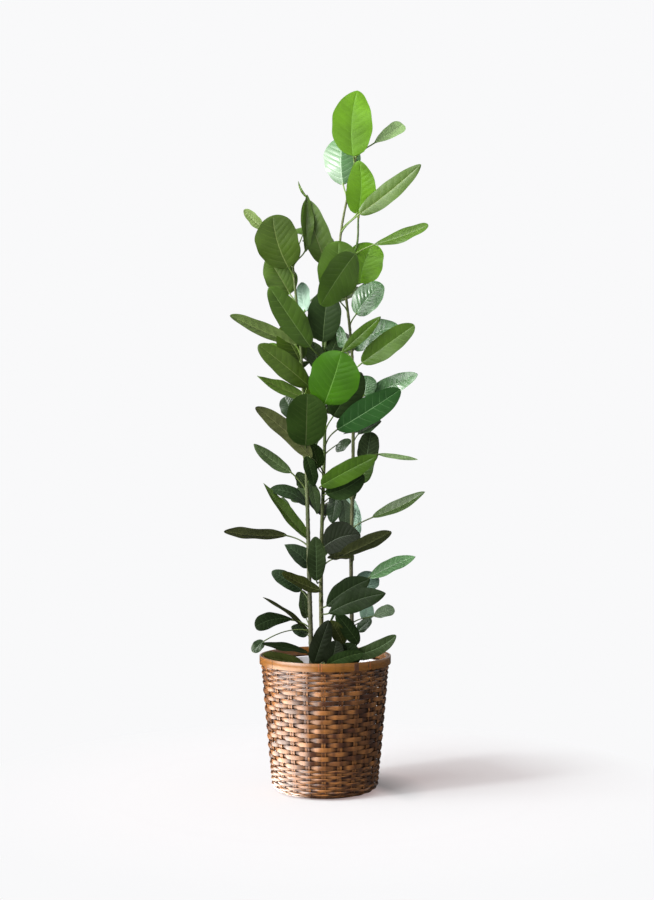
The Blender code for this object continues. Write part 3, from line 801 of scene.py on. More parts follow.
def mottled_material(name, color, other, roughness, cloud, grain, relief, specular=0.5, glow=0.0):
    """A cloudy surface of two colours. cloud and grain are the scales of its patches and of its fine relief.

    glow is the share of light that passes through a thin blade.
    """
    material, tree, shader, place = new_material(name, roughness, specular)
    group = place_group(
        tree,
        bpy.data.node_groups["Mottle"],
        Vector=place,
        Color=color,
        Other_Color=other,
        Cloud_Scale=cloud,
        Grain_Scale=grain,
    )
    tree.link(group.outputs["Color"], shader, "Base Color")
    tree.link(tree.math("ADD", group.outputs["Roughness"], roughness), shader, "Roughness")
    bump(tree, group.outputs["Height"], shader, relief)
    if glow:
        through = tree.add("ShaderNodeBsdfTranslucent")
        tree.link(group.outputs["Color"], through, "Color")
        both = tree.add("ShaderNodeMixShader")
        both.inputs[0].default_value = glow
        tree.link(shader.outputs[0], both, 1)
        tree.link(through.outputs[0], both, 2)
        tree.link(both.outputs[0], material.node_tree.nodes["Material Output"], "Surface")
    return material


# The share of light that a blade lets through, its fine relief, and its colour's share of the tint as seen
LEAF_GLOW = 0.14
LEAF_RELIEF = 0.00001
LEAF_EXPOSURE = 0.82


def leaf_finish(tint):
    """Roughness and specular level of a tint's upper face. Dark tints, for old leaves and for leaves in
    painted shade, are matt; pale ones shine.
    """
    if tint in MATTE:
        return 0.58, 0.10
    if tint in GLOSSY:
        return 0.25, 0.45
    return 0.33, 0.38


def leaf_materials(tint):
    """The upper face, underside, midrib and side vein materials of one tint."""
    upper, under, midrib = (shaded(screen(color), LEAF_EXPOSURE) for color in LEAF_TINTS[tint])
    rough, shine = leaf_finish(tint)
    pale = 0.38 if tint in PALE_VEINED else 0.28
    vein = tuple(a * (1 - pale) + b * pale for a, b in zip(upper, midrib))
    parts = (
        ("upper", upper, 0.68, rough, 16, 700, shine),
        ("under", under, 0.76, 0.55, 18, 800, 0.22),
        ("midrib", midrib, 0.84, 0.45, 60, 800, 0.35),
        ("vein", vein, 0.80, rough, 24, 800, shine),
    )
    materials = []
    for part, color, share, roughness, cloud, grain, specular in parts:
        finish = (roughness, cloud, grain, LEAF_RELIEF, specular, LEAF_GLOW)
        materials.append(mottled_material(f"leaf_{tint}_{part}", color, shaded(color, share), *finish))
    return materials


def plain_finish(name, color, roughness):
    """A small part's finish: one colour with a cloudy change of tone."""
    tone = screen(color)
    return mottled_material(name, tone, shaded(tone, 0.6), roughness, 220, 2400, 0.00008)


BAMBOO_ROUGHNESS = 0.3


def bamboo_material(name, tones, pitch, origin, shine, splints=0, grooves=True):
    """Bamboo whose fibres run round the basket, or up it where splints gives the number of upright ones.

    pitch is a strip's height, and origin where the lowest strip starts. shine is the weight of its varnish.
    """
    material, tree, shader, place = new_material(name, BAMBOO_ROUGHNESS, 0.2)
    spot = place_group(tree, bpy.data.node_groups["Basket Place"], Vector=place)
    angle, height = spot.outputs["Round"], spot.outputs["Up"]
    row = tree.math("FLOOR", tree.math("DIVIDE", tree.math("SUBTRACT", height, origin), pitch))
    strip, along, across = row, angle, height
    if splints:
        for_each_metre = splints / (2 * math.pi * BASKET_TOP_RADIUS)
        strip = tree.math("FLOOR", tree.math("MULTIPLY", angle, for_each_metre))
        along, across = height, angle
    group = place_group(
        tree,
        bpy.data.node_groups["Bamboo"],
        Along=along,
        Across=across,
        Strip=strip,
        # Depth drives the painted shade in the weave's grooves; grooves=False leaves that shade out
        Depth=spot.outputs["Depth"] if grooves else 0.0,
        Light=tones[0],
        Middle=tones[1],
        Dark=tones[2],
    )
    tree.link(group.outputs["Color"], shader, "Base Color")
    tree.link(tree.math("ADD", group.outputs["Roughness"], BAMBOO_ROUGHNESS), shader, "Roughness")
    bump(tree, group.outputs["Height"], shader, 0.00012, 0.6)
    tree.link(tree.math("MULTIPLY", group.outputs["Open"], shine), shader, "Coat Weight")
    shader.inputs["Coat Roughness"].default_value = 0.20
    return material


# Stems


FLARE = 0.55
FLARE_HEIGHT = 0.016
STEM_SIDES = 14
STEM_RINGS = 230


def stem_height_width(plan, height):
    """The taper from foot to tip, with the flare at the soil."""
    rise = (height - STEM_FOOT) / (plan.points[-1][2] - STEM_FOOT)
    flare = 1 + FLARE * math.exp(-(height - STEM_FOOT) / FLARE_HEIGHT)
    return (plan.foot_width + (plan.tip_width - plan.foot_width) * rise) * flare


def stem_place(plan, height):
    """The stem's centre at a height."""
    line = smooth_line(plan.points, 60)
    for low, high in zip(line, line[1:]):
        if low.z <= height <= high.z:
            return low.lerp(high, (height - low.z) / (high.z - low.z))
    return line[-1] if height > line[-1].z else line[0]


def node_swell(height, spacing, shift):
    """How much a stem swells at its leaf scars: a short ring above each node and a slight dip below."""
    place = ((height - shift) / spacing) % 1.0
    return 0.13 * math.exp(-(((place - 0.5) / 0.07) ** 2)) - 0.05 * math.exp(-(((place - 0.36) / 0.09) ** 2))


def model_stem(name, plan, rng):
    """A round stem drawn up from a circle at the soil, ring by ring, then roughened."""
    line = smooth_line(plan.points, STEM_RINGS)
    spacing = rng.uniform(0.027, 0.034)
    bpy.ops.object.select_all(action="DESELECT")
    start = stem_height_width(plan, line[0].z) / 2
    bpy.ops.mesh.primitive_circle_add(vertices=STEM_SIDES, radius=start, fill_type="NGON", location=line[0])
    stem = bpy.context.view_layer.objects.active
    settle(stem)
    bpy.ops.object.mode_set(mode="EDIT")
    bpy.ops.mesh.select_all(action="SELECT")
    width = start
    for before, here in zip(line, line[1:]):
        bpy.ops.mesh.extrude_region_move(TRANSFORM_OT_translate={"value": here - before})
        wanted = stem_height_width(plan, here.z) / 2 * (1 + node_swell(here.z, spacing, plan.foot_width))
        share = wanted / width
        bpy.ops.transform.resize(value=(share, share, 1), center_override=here)
        width = wanted
    bpy.ops.mesh.select_all(action="SELECT")
    bpy.ops.mesh.normals_make_consistent(inside=False)
    bpy.ops.object.mode_set(mode="OBJECT")
    ridges = bpy.data.textures.new(f"{name}_ridges", "CLOUDS")
    ridges.noise_scale = 0.004
    add_modifier(stem, "DISPLACE", texture=ridges, texture_coords="LOCAL", strength=0.0007, mid_level=0.5)
    apply_modifiers(stem)
    smooth(stem, 50)
    stem.name = name
    stem.data.name = name
    return stem


# Leaves


class LeafPlace(NamedTuple):
    """A leaf in space: where its stalk starts, its blade's ends and the way its upper face looks."""

    attach: Vector
    base: Vector
    tip: Vector
    face: Vector
    form: Form
    tint: str
    width: float
    arch: float
    fold: float
    bow: float
    twist: float


# Where the side veins leave the midrib and where the blade's last row is, as shares of its length
VEINS = (0.012, 0.11, 0.22, 0.335, 0.45, 0.565, 0.675, 0.78)
LAST_ROW = 0.97


def leaf_rows():
    """Rows across a blade: place along the midrib, side of a vein, bulge; and whether each gap is a vein."""
    rows = [(0.0006, 0, 0.0)]
    vein_gap = [False]
    for place, following in zip(VEINS, (*VEINS[1:], LAST_ROW)):
        rows += [(place, -1, 0.0), (place, 1, 0.0)]
        vein_gap += [True, False]
        for share in (0.25, 0.5, 0.75):
            rows.append((place + (following - place) * share, 0, math.sin(math.pi * share)))
            vein_gap.append(False)
    rows += [(LAST_ROW, 0, 0.0), (0.988, 0, 0.0), (0.9994, 0, 0.0)]
    vein_gap += [False, False]
    return np.array(rows), np.array(vein_gap)


LEAF_ROWS, LEAF_VEIN_GAPS = leaf_rows()

# Columns from the midrib to the margin, as shares of half the width; the midrib's ridge ends at the second
HALF_COLUMNS = (0.022, 0.13, 0.29, 0.47, 0.65, 0.83, 1.0)
MIDRIB_EDGE = HALF_COLUMNS[1]
VEIN_RIDGE = 0.4 * MM
LEAF_COLUMNS = np.array([-c for c in reversed(HALF_COLUMNS)] + [0.0] + list(HALF_COLUMNS))
ROUNDING = 2.1


def leaf_outline(form, along):
    """Half the blade's width, as a share of its widest, at a share of its length."""
    along = np.clip(along, 0, 1)
    low = np.clip((form.widest - along) / form.widest, 0, 1)
    high = np.clip((along - form.widest) / (1 - form.widest), 0, 1)
    return (1 - low**ROUNDING) ** (1 / form.base) * (1 - high**ROUNDING) ** (1 / form.tip)


def leaf_axes(leaf):
    """A blade's length and its unit ways: ahead along the midrib, out of the upper face, and to its side."""
    chord = leaf.tip - leaf.base
    length = chord.length
    ahead = np.array(chord / length)
    face = np.array(leaf.face)
    face = face - ahead * face.dot(ahead)
    face /= np.linalg.norm(face)
    return length, ahead, face, np.cross(face, ahead)


def rippled(reach, along, off, across, rng):
    """The way out to each point of the blade, with a margin that ripples on each side by itself."""
    for sign in (-1, 1):
        first, second = rng.uniform(0, 2 * math.pi, 2)
        long_wave = 0.030 * np.sin(8.5 * along + first)
        short_wave = 0.016 * np.sin(21 * along + second)
        ripple = long_wave + short_wave + rng.uniform(-0.03, 0.03)
        reach = reach * np.where(np.sign(across) == sign, 1 + ripple * off, 1)
    return reach


def waved(lift, along, off, across, leaf, settings, rng):
    """How far each point stands off the blade's plane, with margins that swing up and down and curl back."""
    for sign in (-1, 1):
        phase = rng.uniform(0, 2 * math.pi)
        swing = settings.waviness * rng.uniform(0.4, 1.2)
        wave = np.sin(2 * math.pi * rng.uniform(1.1, 2.2) * along + phase)
        wave = wave * np.sin(math.pi * np.clip(along, 0, 1))
        lift = lift + np.where(np.sign(across) == sign, swing * off**2 * wave, 0)
    return lift - rng.uniform(0.0, 0.05) * leaf.width * off**2


def leaf_grid(leaf, settings, rng):
    """The points of a blade's upper and lower sheets, as rows by columns."""
    length, ahead, face, side = leaf_axes(leaf)
    aside = np.cross((0.0, -1.0, 0.0), ahead)
    start, vein_side, bulge = (LEAF_ROWS[:, n : n + 1] for n in range(3))
    across = LEAF_COLUMNS[None, :]
    off = np.abs(across)
    sweep = min(0.92 * leaf.width / length, 0.78) * np.sqrt(start) * (1 - start)
    vein_half = settings.vein_width / 2 / length * (1 - 0.6 * off)
    along = start + sweep * off**1.2 + vein_side * vein_half
    half_width = leaf.width / 2 * leaf_outline(leaf.form, start + sweep)
    reach = rippled(across * half_width, along, off, across, rng)
    fold = math.radians(leaf.fold)
    lift = np.abs(reach) * math.sin(fold)
    reach = reach * math.cos(fold)
    swell = np.clip(off / MIDRIB_EDGE, 0, 1) * (1 - off**3)
    lift = lift + settings.quilting * bulge * swell
    lift = waved(lift, along, off, across, leaf, settings, rng)
    humped = 4 * along * (1 - along)
    arch = leaf.arch * length * humped
    bow = leaf.bow * length * humped
    twist = (math.radians(leaf.twist) + rng.uniform(-0.10, 0.10)) * (np.clip(along, 0, 1) - 0.5)
    cos, sin = np.cos(twist)[..., None], np.sin(twist)[..., None]
    turned_side = side * cos + face * sin
    turned_face = face * cos - side * sin
    top = np.array(leaf.base) + ahead * (along * length)[..., None] + aside * bow[..., None]
    top = top + turned_side * reach[..., None] + face * arch[..., None] + turned_face * lift[..., None]
    slim = 1 - 0.75 * np.clip(along, 0, 1)
    ridge = settings.midrib * slim * np.clip(1 - off / MIDRIB_EDGE, 0, 1)
    vein_ridge = np.abs(vein_side) * VEIN_RIDGE * (1 - off)
    depth = settings.thickness + ridge + vein_ridge
    under = top - turned_face * depth[..., None]
    return top, under


def corners(sheet, row, column):
    """The four points of one face of a sheet, from its base end round by the right."""
    near, far = sheet[row : row + 2, column : column + 2].tolist()
    return (*near, *reversed(far))


UPPER, UNDER, MIDRIB, VEIN = range(4)


def leaf_faces():
    """Faces of one closed blade over its upper points and its lower sheet's inner ones, with their parts."""
    rows, columns = len(LEAF_ROWS), len(LEAF_COLUMNS)
    middle = columns // 2
    upper = np.arange(rows * columns).reshape(rows, columns)
    lower = upper.copy()
    lower[:, 1:-1] = rows * columns + np.arange(rows * (columns - 2)).reshape(rows, columns - 2)
    faces, parts = [], []
    for row in range(rows - 1):
        for column in range(columns - 1):
            midrib = column in (middle - 1, middle)
            in_vein = bool(LEAF_VEIN_GAPS[row]) and 0 < column < columns - 2
            faces.append(corners(upper, row, column))
            parts.append(MIDRIB if midrib else VEIN if in_vein else UPPER)
            first, *others = corners(lower, row, column)
            faces.append((first, *reversed(others)))
            parts.append(MIDRIB if midrib else UNDER)
    for row, ahead in ((0, True), (rows - 1, False)):
        for column in range(columns - 1):
            edge = (upper[row, column], lower[row, column], lower[row, column + 1], upper[row, column + 1])
            ring = list(dict.fromkeys(int(corner) for corner in edge))
            faces.append(tuple(ring if ahead else reversed(ring)))
            parts.append(MIDRIB)
    return faces, parts


LEAF_FACES, LEAF_PARTS = leaf_faces()


def behind(across, up, back, stage):
    """The place that is seen at across and up in the stems' plane, and lies back behind it. Millimetres."""
    eye = Vector((stage.across, -stage.distance, stage.height))
    seen = Vector((across * MM, 0.0, up * MM))
    return eye + (seen - eye) * ((stage.distance + back * MM) / stage.distance)


def turned_face(base, tip, turn):
    """The way a leaf's upper face looks, turned about its length by turn degrees from facing the camera.

    Also returns 1 or -1: the sense in which turning on from base to tip adds to turn.
    """
    ahead = (tip - base).normalized()
    viewer = Vector((0, -1, 0))
    facing = (viewer - ahead * viewer.dot(ahead)).normalized()
    up = ahead.cross(facing)
    sense = -1 if up.z < -0.05 or (abs(up.z) <= 0.05 and up.x < 0) else 1
    angle = math.radians(turn)
    return facing * math.cos(angle) + up * (sense * math.sin(angle)), sense


def seen_leaf_places(stage):
    places = []
    for leaf in SEEN_LEAVES:
        base = behind(*leaf.base, stage)
        tip = behind(*leaf.tip, stage)
        plan = STEMS[leaf.stem]
        highest = plan.points[-1][2] - 0.002
        attach_height = min(max(base.z - leaf.drop * MM, STEM_FOOT + 0.012), highest)
        face, sense = turned_face(base, tip, leaf.turn)
        attach = stem_place(plan, attach_height)
        shape = (leaf.width * MM, leaf.arch, leaf.fold, leaf.bow, leaf.twist * sense)
        places.append(LeafPlace(attach, base, tip, face, FORMS[leaf.form], leaf.tint, *shape))
    return places


class PictureMask:
    """How far away the nearest leaf is in each cell, two pixels wide, of the camera's view."""

    CELL = 2
    AROUND = [(down, right) for down in (-1, 0, 1) for right in (-1, 0, 1)]
    BEHIND = 0.003

    def __init__(self, stage):
        self.stage = stage
        self.focal = stage.lens / LONG_SIDE_OF_SENSOR * PICTURE_HEIGHT
        self.nearest = np.full((PICTURE_HEIGHT // self.CELL, PICTURE_WIDTH // self.CELL), np.inf)

    def cells(self, points):
        depth = points[..., 1] + self.stage.distance
        column = PICTURE_WIDTH / 2 + self.focal * (points[..., 0] - self.stage.across) / depth
        row = PICTURE_HEIGHT / 2 - self.focal * (points[..., 2] - self.stage.height) / depth
        rows = np.clip(row / self.CELL, 1, self.nearest.shape[0] - 2).astype(int)
        columns = np.clip(column / self.CELL, 1, self.nearest.shape[1] - 2).astype(int)
        return rows.ravel(), columns.ravel(), depth.ravel()

    def mark(self, points):
        rows, columns, depth = self.cells(points)
        for down, right in self.AROUND:
            np.minimum.at(self.nearest, (rows + down, columns + right), depth)

    def hidden_share(self, points):
        """The share of the points that lie behind a leaf."""
        rows, columns, depth = self.cells(points)
        nearest = np.max([self.nearest[rows + down, columns + right] for down, right in self.AROUND], axis=0)
        return (nearest < depth - self.BEHIND).mean()


def sample_points(top):
    """A few points spread over a blade, to keep leaves apart."""
    rows = np.linspace(3, top.shape[0] - 4, 7).astype(int)
    columns = [0, 3, 7, 11, 14]
    return top[np.ix_(rows, columns)].reshape(-1, 3)


def room_left(points, others):
    """The least distance from points to the points of other leaves."""
    if not others:
        return 1.0
    gaps = np.concatenate(others)[None] - points[:, None]
    return float(np.sqrt((gaps**2).sum(axis=2)).min())


def inside_crown(points):
    low, high = np.array(CAD_BOX[0]), np.array(CAD_BOX[1])
    margin = 0.004
    return bool(((points > low + margin) & (points < high - margin)).all())


# The rule's leaves: least and most of each draw. Lengths in metres, angles in degrees
GROWN_LENGTH = (0.098, 0.142)
GROWN_STALK = (0.030, 0.052)
GROWN_RISE = (18, 62)
GROWN_DROOP = (5, 50)
GROWN_SWEEP = (-0.35, 0.35)
GROWN_ROLL = (-62, 62)
GROWN_SLIMNESS = (0.54, 0.68)
GROWN_ARCH = (0.03, 0.10)
GROWN_FOLD = (6, 18)
GROWN_TWIST = (-20, 20)
GROWN_FORMS = ("ovate", "oblong", "round")


def grown_leaf(plan, height, angle, rng):
    """A leaf of the branching rule: its stalk rises from the stem at angle, and its blade leans out."""
    attach = stem_place(plan, height)
    share = (height - STEM_FOOT) / (plan.points[-1][2] - STEM_FOOT)
    length = rng.uniform(*GROWN_LENGTH) * (0.80 + 0.34 * math.sin(math.pi * min(share + 0.15, 1.0)))
    out = Vector((math.cos(angle), math.sin(angle), 0))
    rise = math.radians(rng.uniform(*GROWN_RISE))
    stalk = rng.uniform(*GROWN_STALK)
    base = attach + out * stalk * math.cos(rise) + Vector((0, 0, stalk * math.sin(rise)))
    lean = rise - math.radians(rng.uniform(*GROWN_DROOP))
    sideways = Vector((-out.y, out.x, 0)) * rng.uniform(*GROWN_SWEEP)
    ahead = (out * math.cos(lean) + Vector((0, 0, math.sin(lean))) + sideways).normalized()
    side = ahead.cross(Vector((0, 0, 1))).normalized()
    up = side.cross(ahead).normalized()
    roll = math.radians(rng.uniform(*GROWN_ROLL))
    # Lower leaves take darker tints and upper ones paler: painted shade below and painted light above,
    # besides their age
    tone = min(int(share * 6 + rng.uniform(0, 2.0)), len(HIDDEN_TINTS) - 1)
    form = FORMS[GROWN_FORMS[rng.integers(len(GROWN_FORMS))]]
    return LeafPlace(
        attach=attach,
        base=base,
        tip=base + ahead * length,
        face=up * math.cos(roll) + side * math.sin(roll),
        form=form,
        tint=HIDDEN_TINTS[tone],
        width=length * rng.uniform(*GROWN_SLIMNESS),
        arch=rng.uniform(*GROWN_ARCH),
        fold=rng.uniform(*GROWN_FOLD),
        bow=0.0,
        twist=rng.uniform(*GROWN_TWIST),
    )


def hidden_and_clear(leaf, top, points, mask, samples, clearance):
    """Whether a grown leaf lies in the crown above the hoop, behind the seen leaves and clear of others."""
    if not inside_crown(top.reshape(-1, 3)) or leaf.tip.z < HOOP_HIGH.z + 0.03:
        return False
    if leaf.tip.y < leaf.base.y or mask.hidden_share(top) < 1.0:
        return False
    if mask.hidden_share(np.linspace(leaf.attach, leaf.base, 12)) < 0.5:
        return False
    return room_left(points, samples) >= clearance


TRIES = 30


def leaf_blades(settings, stage):
    """Every leaf with its points: those that the photo shows, then those that the rule grows behind them."""
    rng = np.random.default_rng(settings.seed)
    mask = PictureMask(stage)
    blades, samples = [], []
    for leaf in seen_leaf_places(stage):
        top, under = leaf_grid(leaf, settings, rng)
        mask.mark(top)
        samples.append(sample_points(top))
        blades.append((leaf, top, under))
    for plan in STEMS.values():
        mask.mark(np.array(smooth_line(plan.points, STEM_RINGS)))
    for plan in STEMS.values():
        angle = rng.uniform(0, 2 * math.pi)
        height = STEM_FOOT + 0.06
        while height < plan.points[-1][2] - 0.02:
            angle += GOLDEN_ANGLE
            height += settings.spacing
            for _ in range(TRIES):
                turned = angle + rng.uniform(-0.5, 0.5)
                leaf = grown_leaf(plan, height, turned, rng)
                top, under = leaf_grid(leaf, settings, rng)
                points = sample_points(top)
                if hidden_and_clear(leaf, top, points, mask, samples, settings.clearance):
                    samples.append(points)
                    blades.append((leaf, top, under))
                    break
    return blades


def nearest_mass(top):
    """The foliage mass that a blade belongs to: the one whose middle is nearest, in shares of its size."""
    middle = top.reshape(-1, 3).mean(axis=0)
    best, best_far = None, math.inf
    for name in MASSES:
        low, high = (np.array(corner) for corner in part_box(name))
        far = np.linalg.norm((middle - (low + high) / 2) / (high - low))
        if far < best_far:
            best, best_far = name, far
    return best


def stalk_tube(start, leaf, width):
    """A stalk from the stem to the blade, bent so that it leaves the stem upwards and meets the midrib."""
    ahead = (leaf.tip - leaf.base).normalized()
    end = leaf.base + ahead * 0.006 - leaf.face.normalized() * 0.0009
    gap = (end - start).length
    away = (end - start).normalized()
    lead = start + (away + Vector((0, 0, 0.45))).normalized() * gap * 0.38
    meet = end - (ahead + away * 0.6).normalized() * gap * 0.34
    points, radii = [], []
    for step in range(13):
        t = step / 12
        s = 1 - t
        points.append(start * s**3 + lead * (3 * s * s * t) + meet * (3 * s * t * t) + end * t**3)
        radii.append(width / 2 * (1 + 0.55 * math.exp(-t / 0.07) - 0.18 * math.sin(math.pi * t)))
    return tube(points, radii, 8)


def tube(points, radii, sides):
    """A closed tube along points. Returns its vertices and faces."""
    vertices, faces = [], []
    side = None
    for number, (point, radius) in enumerate(zip(points, radii)):
        ahead = points[min(number + 1, len(points) - 1)] - points[max(number - 1, 0)]
        ahead.normalize()
        if side is None:
            side = ahead.orthogonal().normalized()
        side = (side - ahead * side.dot(ahead)).normalized()
        over = ahead.cross(side)
        for corner in range(sides):
            angle = 2 * math.pi * corner / sides
            vertices.append(point + side * (radius * math.cos(angle)) + over * (radius * math.sin(angle)))
    for ring in range(len(points) - 1):
        for corner in range(sides):
            following = (corner + 1) % sides
            low, high = ring * sides, (ring + 1) * sides
            faces.append((low + corner, low + following, high + following, high + corner))
    faces.append(tuple(reversed(range(sides))))
    faces.append(tuple(range((len(points) - 1) * sides, len(points) * sides)))
    return vertices, faces


def gathered(tubes):
    """The points and faces of several tubes as one list of each."""
    points, faces = [], []
    for vertices, rings in tubes:
        faces += [tuple(corner + len(points) for corner in face) for face in rings]
        points += [tuple(vertex) for vertex in vertices]
    return points, faces


STALK_COLORS = {"low": (78, 92, 44), "high": (104, 130, 54)}
FRESH_ABOVE = 0.80
SMALL_LEAF = 0.07
BUD_COLOR = (150, 172, 84)
BUD_LENGTH = 0.034
BUD_RADIUS = 0.0026


# Basket


def basket_side():
    """The basket's outline as lengths along it from the edge of its flat base, radii and heights."""
    radii, heights = [], []
    for step in range(25):
        angle = math.pi / 2 * step / 24
        radii.append(BASE_RADIUS + (FOOT_RADIUS - BASE_RADIUS) * math.sin(angle))
        heights.append(FOOT_ROUNDING * (1 - math.cos(angle)))
    radii.append(BASKET_TOP_RADIUS)
    heights.append(BASKET_TOP)
    steps = np.hypot(np.diff(radii), np.diff(heights))
    return np.concatenate([[0], np.cumsum(steps)]), np.array(radii), np.array(heights)


SIDE_LENGTHS, SIDE_RADII, SIDE_HEIGHTS = basket_side()
SIDE_LENGTH = float(SIDE_LENGTHS[-1])


def side_point(length):
    """Radius and height of the basket's face at a length up its side."""
    radius = np.interp(length, SIDE_LENGTHS, SIDE_RADII)
    height = np.interp(length, SIDE_LENGTHS, SIDE_HEIGHTS)
    return float(radius), float(height)


def on_side(length, inward):
    """Radius and height at a length up the basket's side, inward from its face."""
    length = min(max(length, 0.0), SIDE_LENGTH)
    radius, height = side_point(length)
    ahead = min(length + 0.002, SIDE_LENGTH)
    ahead_radius, ahead_height = side_point(ahead)
    back_radius, back_height = side_point(ahead - 0.004)
    run, climb = ahead_radius - back_radius, ahead_height - back_height
    slant = math.hypot(run, climb)
    return radius - inward * climb / slant, height + inward * run / slant


FIRST_ROW = 0.0006


def weave_rows(settings):
    """Each row's middle and height as lengths up the side, from the foot to the hoop."""
    rows = []
    place = FIRST_ROW
    counts = ((settings.foot_rows, settings.foot_pitch), (settings.wide_rows, settings.wide_pitch))
    for count, pitch in counts:
        for _ in range(count):
            rows.append((place + pitch / 2, pitch))
            place += pitch
    pitch = (SIDE_LENGTH - place) / settings.top_rows
    for _ in range(settings.top_rows):
        rows.append((place + pitch / 2, pitch))
        place += pitch
    return rows


STEPS_PER_UPRIGHT = 10
WEAVE_DEPTH = 0.0028
UPRIGHT_DEPTH = 0.0032
WEAVER_CROWN = 0.0010
FIRST_UPRIGHT = -math.pi / 2 + math.radians(-1.6)


def woven_band(settings, middle, pitch, odd):
    """One weaver: a circle drawn up into a band, then swung out over every other upright and in behind."""
    count = settings.uprights * STEPS_PER_UPRIGHT
    wide = pitch > settings.foot_pitch * 1.3
    tall = pitch * (0.95 if wide else 0.94)
    low = on_side(middle - tall / 2, WEAVE_DEPTH)
    centre = on_side(middle, WEAVE_DEPTH - WEAVER_CROWN)
    high = on_side(middle + tall / 2, WEAVE_DEPTH)
    band = add_circle(count, *low)
    bpy.ops.object.mode_set(mode="EDIT")
    bpy.ops.mesh.select_all(action="SELECT")
    for before, here in ((low, centre), (centre, high)):
        bpy.ops.mesh.extrude_edges_move(TRANSFORM_OT_translate={"value": (0, 0, here[1] - before[1])})
        share = here[0] / before[0]
        bpy.ops.transform.resize(value=(share, share, 1), center_override=(0, 0, here[1]))
    swing = settings.swing * (1.0 if wide else 0.78)
    for step in range(STEPS_PER_UPRIGHT + 1):
        outward = math.cos(math.pi * step / STEPS_PER_UPRIGHT)
        if not select_vertices(band, lambda place: abs(weaver_swing(place, settings, odd) - outward) < 0.02):
            continue
        out = 1 + swing * outward / centre[0]
        narrow = 1 - 0.22 * ((1 - outward) / 2) ** 2.2
        bpy.ops.transform.resize(value=(out, out, narrow), center_override=(0, 0, centre[1]))
    bpy.ops.mesh.select_all(action="SELECT")
    bpy.ops.mesh.normals_make_consistent(inside=False)
    bpy.ops.object.mode_set(mode="OBJECT")
    add_modifier(band, "SOLIDIFY", thickness=settings.strip, offset=0.0)
    apply_modifiers(band)
    return band


def weaver_swing(place, settings, odd):
    """How far out a weaver swings at a place, from 1 over an upright to -1 behind the next."""
    period = 4 * math.pi / settings.uprights
    turned = (math.atan2(place.y, place.x) - FIRST_UPRIGHT) / period * 2 * math.pi
    return math.cos(turned + (math.pi if odd else 0.0))


SPLINT_THICKNESS = 0.0013
SPLINT_SWING = 0.0010


def upright_splint(settings, rows, odd):
    """One upright splint: a short ribbon drawn up the side row by row, in and out between the weavers."""
    lengths = [FIRST_ROW - 0.0002]
    for middle, pitch in rows:
        lengths += [middle + pitch * share for share in (-0.25, 0.0, 0.25)]
    edges = np.array([middle for middle, _ in rows])
    path = []
    for length in lengths:
        row = float(np.interp(length, edges, np.arange(len(rows))))
        inward = UPRIGHT_DEPTH + SPLINT_SWING * math.cos(math.pi * (row + (1 if odd else 0)))
        path.append(on_side(length, inward))
    radius, height = path[0]
    bpy.ops.object.select_all(action="DESELECT")
    bpy.ops.mesh.primitive_grid_add(x_subdivisions=1, y_subdivisions=2, size=settings.splint_width)
    splint = bpy.context.view_layer.objects.active
    bpy.ops.object.mode_set(mode="EDIT")
    select_vertices(splint, lambda place: place.x > 0)
    bpy.ops.mesh.delete(type="VERT")
    bpy.ops.mesh.select_all(action="SELECT")
    offset = Vector((radius + settings.splint_width / 2, 0, height))
    bpy.ops.transform.translate(value=offset)
    for (radius, height), (next_radius, next_height) in zip(path, path[1:]):
        step = (next_radius - radius, 0, next_height - height)
        bpy.ops.mesh.extrude_edges_move(TRANSFORM_OT_translate={"value": step})
    bpy.ops.mesh.select_all(action="SELECT")
    bpy.ops.mesh.normals_make_consistent(inside=False)
    bpy.ops.object.mode_set(mode="OBJECT")
    add_modifier(splint, "SOLIDIFY", thickness=SPLINT_THICKNESS, offset=0.0)
    apply_modifiers(splint)
    return splint


CENTRE_RING = 0.0004


def lathe(name, profile, sides, closed=True):
    """A turned piece: a circle drawn through the rings of its profile. Its ends are filled unless closed."""
    piece = add_circle(sides, *profile[0])
    bpy.ops.object.mode_set(mode="EDIT")
    bpy.ops.mesh.select_all(action="SELECT")
    for (radius, height), (next_radius, next_height) in zip(profile, profile[1:]):
        bpy.ops.mesh.extrude_edges_move(TRANSFORM_OT_translate={"value": (0, 0, next_height - height)})
        share = next_radius / radius
        bpy.ops.transform.resize(value=(share, share, 1), center_override=(0, 0, next_height))
    bpy.ops.mesh.select_all(action="SELECT")
    bpy.ops.mesh.remove_doubles(threshold=0.00002)
    if not closed:
        bpy.ops.mesh.select_all(action="DESELECT")
        bpy.ops.mesh.select_non_manifold()
        bpy.ops.mesh.fill()
    bpy.ops.mesh.select_all(action="SELECT")
    bpy.ops.mesh.normals_make_consistent(inside=False)
    bpy.ops.object.mode_set(mode="OBJECT")
    piece.name = name
    piece.data.name = name
    return piece


def rounded_ring(inner, outer, low, high, ease):
    """The profile of a band with eased edges, as a closed loop."""
    return [
        (outer, low + ease),
        (outer, high - ease),
        (outer - ease * 0.3, high - ease * 0.3),
        (outer - ease, high),
        (inner + ease, high),
        (inner + ease * 0.3, high - ease * 0.3),
        (inner, high - ease),
        (inner, low + ease),
        (inner + ease, low),
        (outer - ease, low),
        (outer - ease * 0.3, low + ease * 0.3),
        (outer, low + ease),
    ]


# Soil

CRUMBS = 1500
CRUMB_SIZE = (0.0012, 0.0042)
CRUMB_CORNERS = np.array([(1, 0, 0), (-1, 0, 0), (0, 1, 0), (0, -1, 0), (0, 0, 0.7), (0, 0, -0.7)])
CRUMB_FACES = ((0, 2, 4), (2, 1, 4), (1, 3, 4), (3, 0, 4), (2, 0, 5), (1, 2, 5), (3, 1, 5), (0, 3, 5))


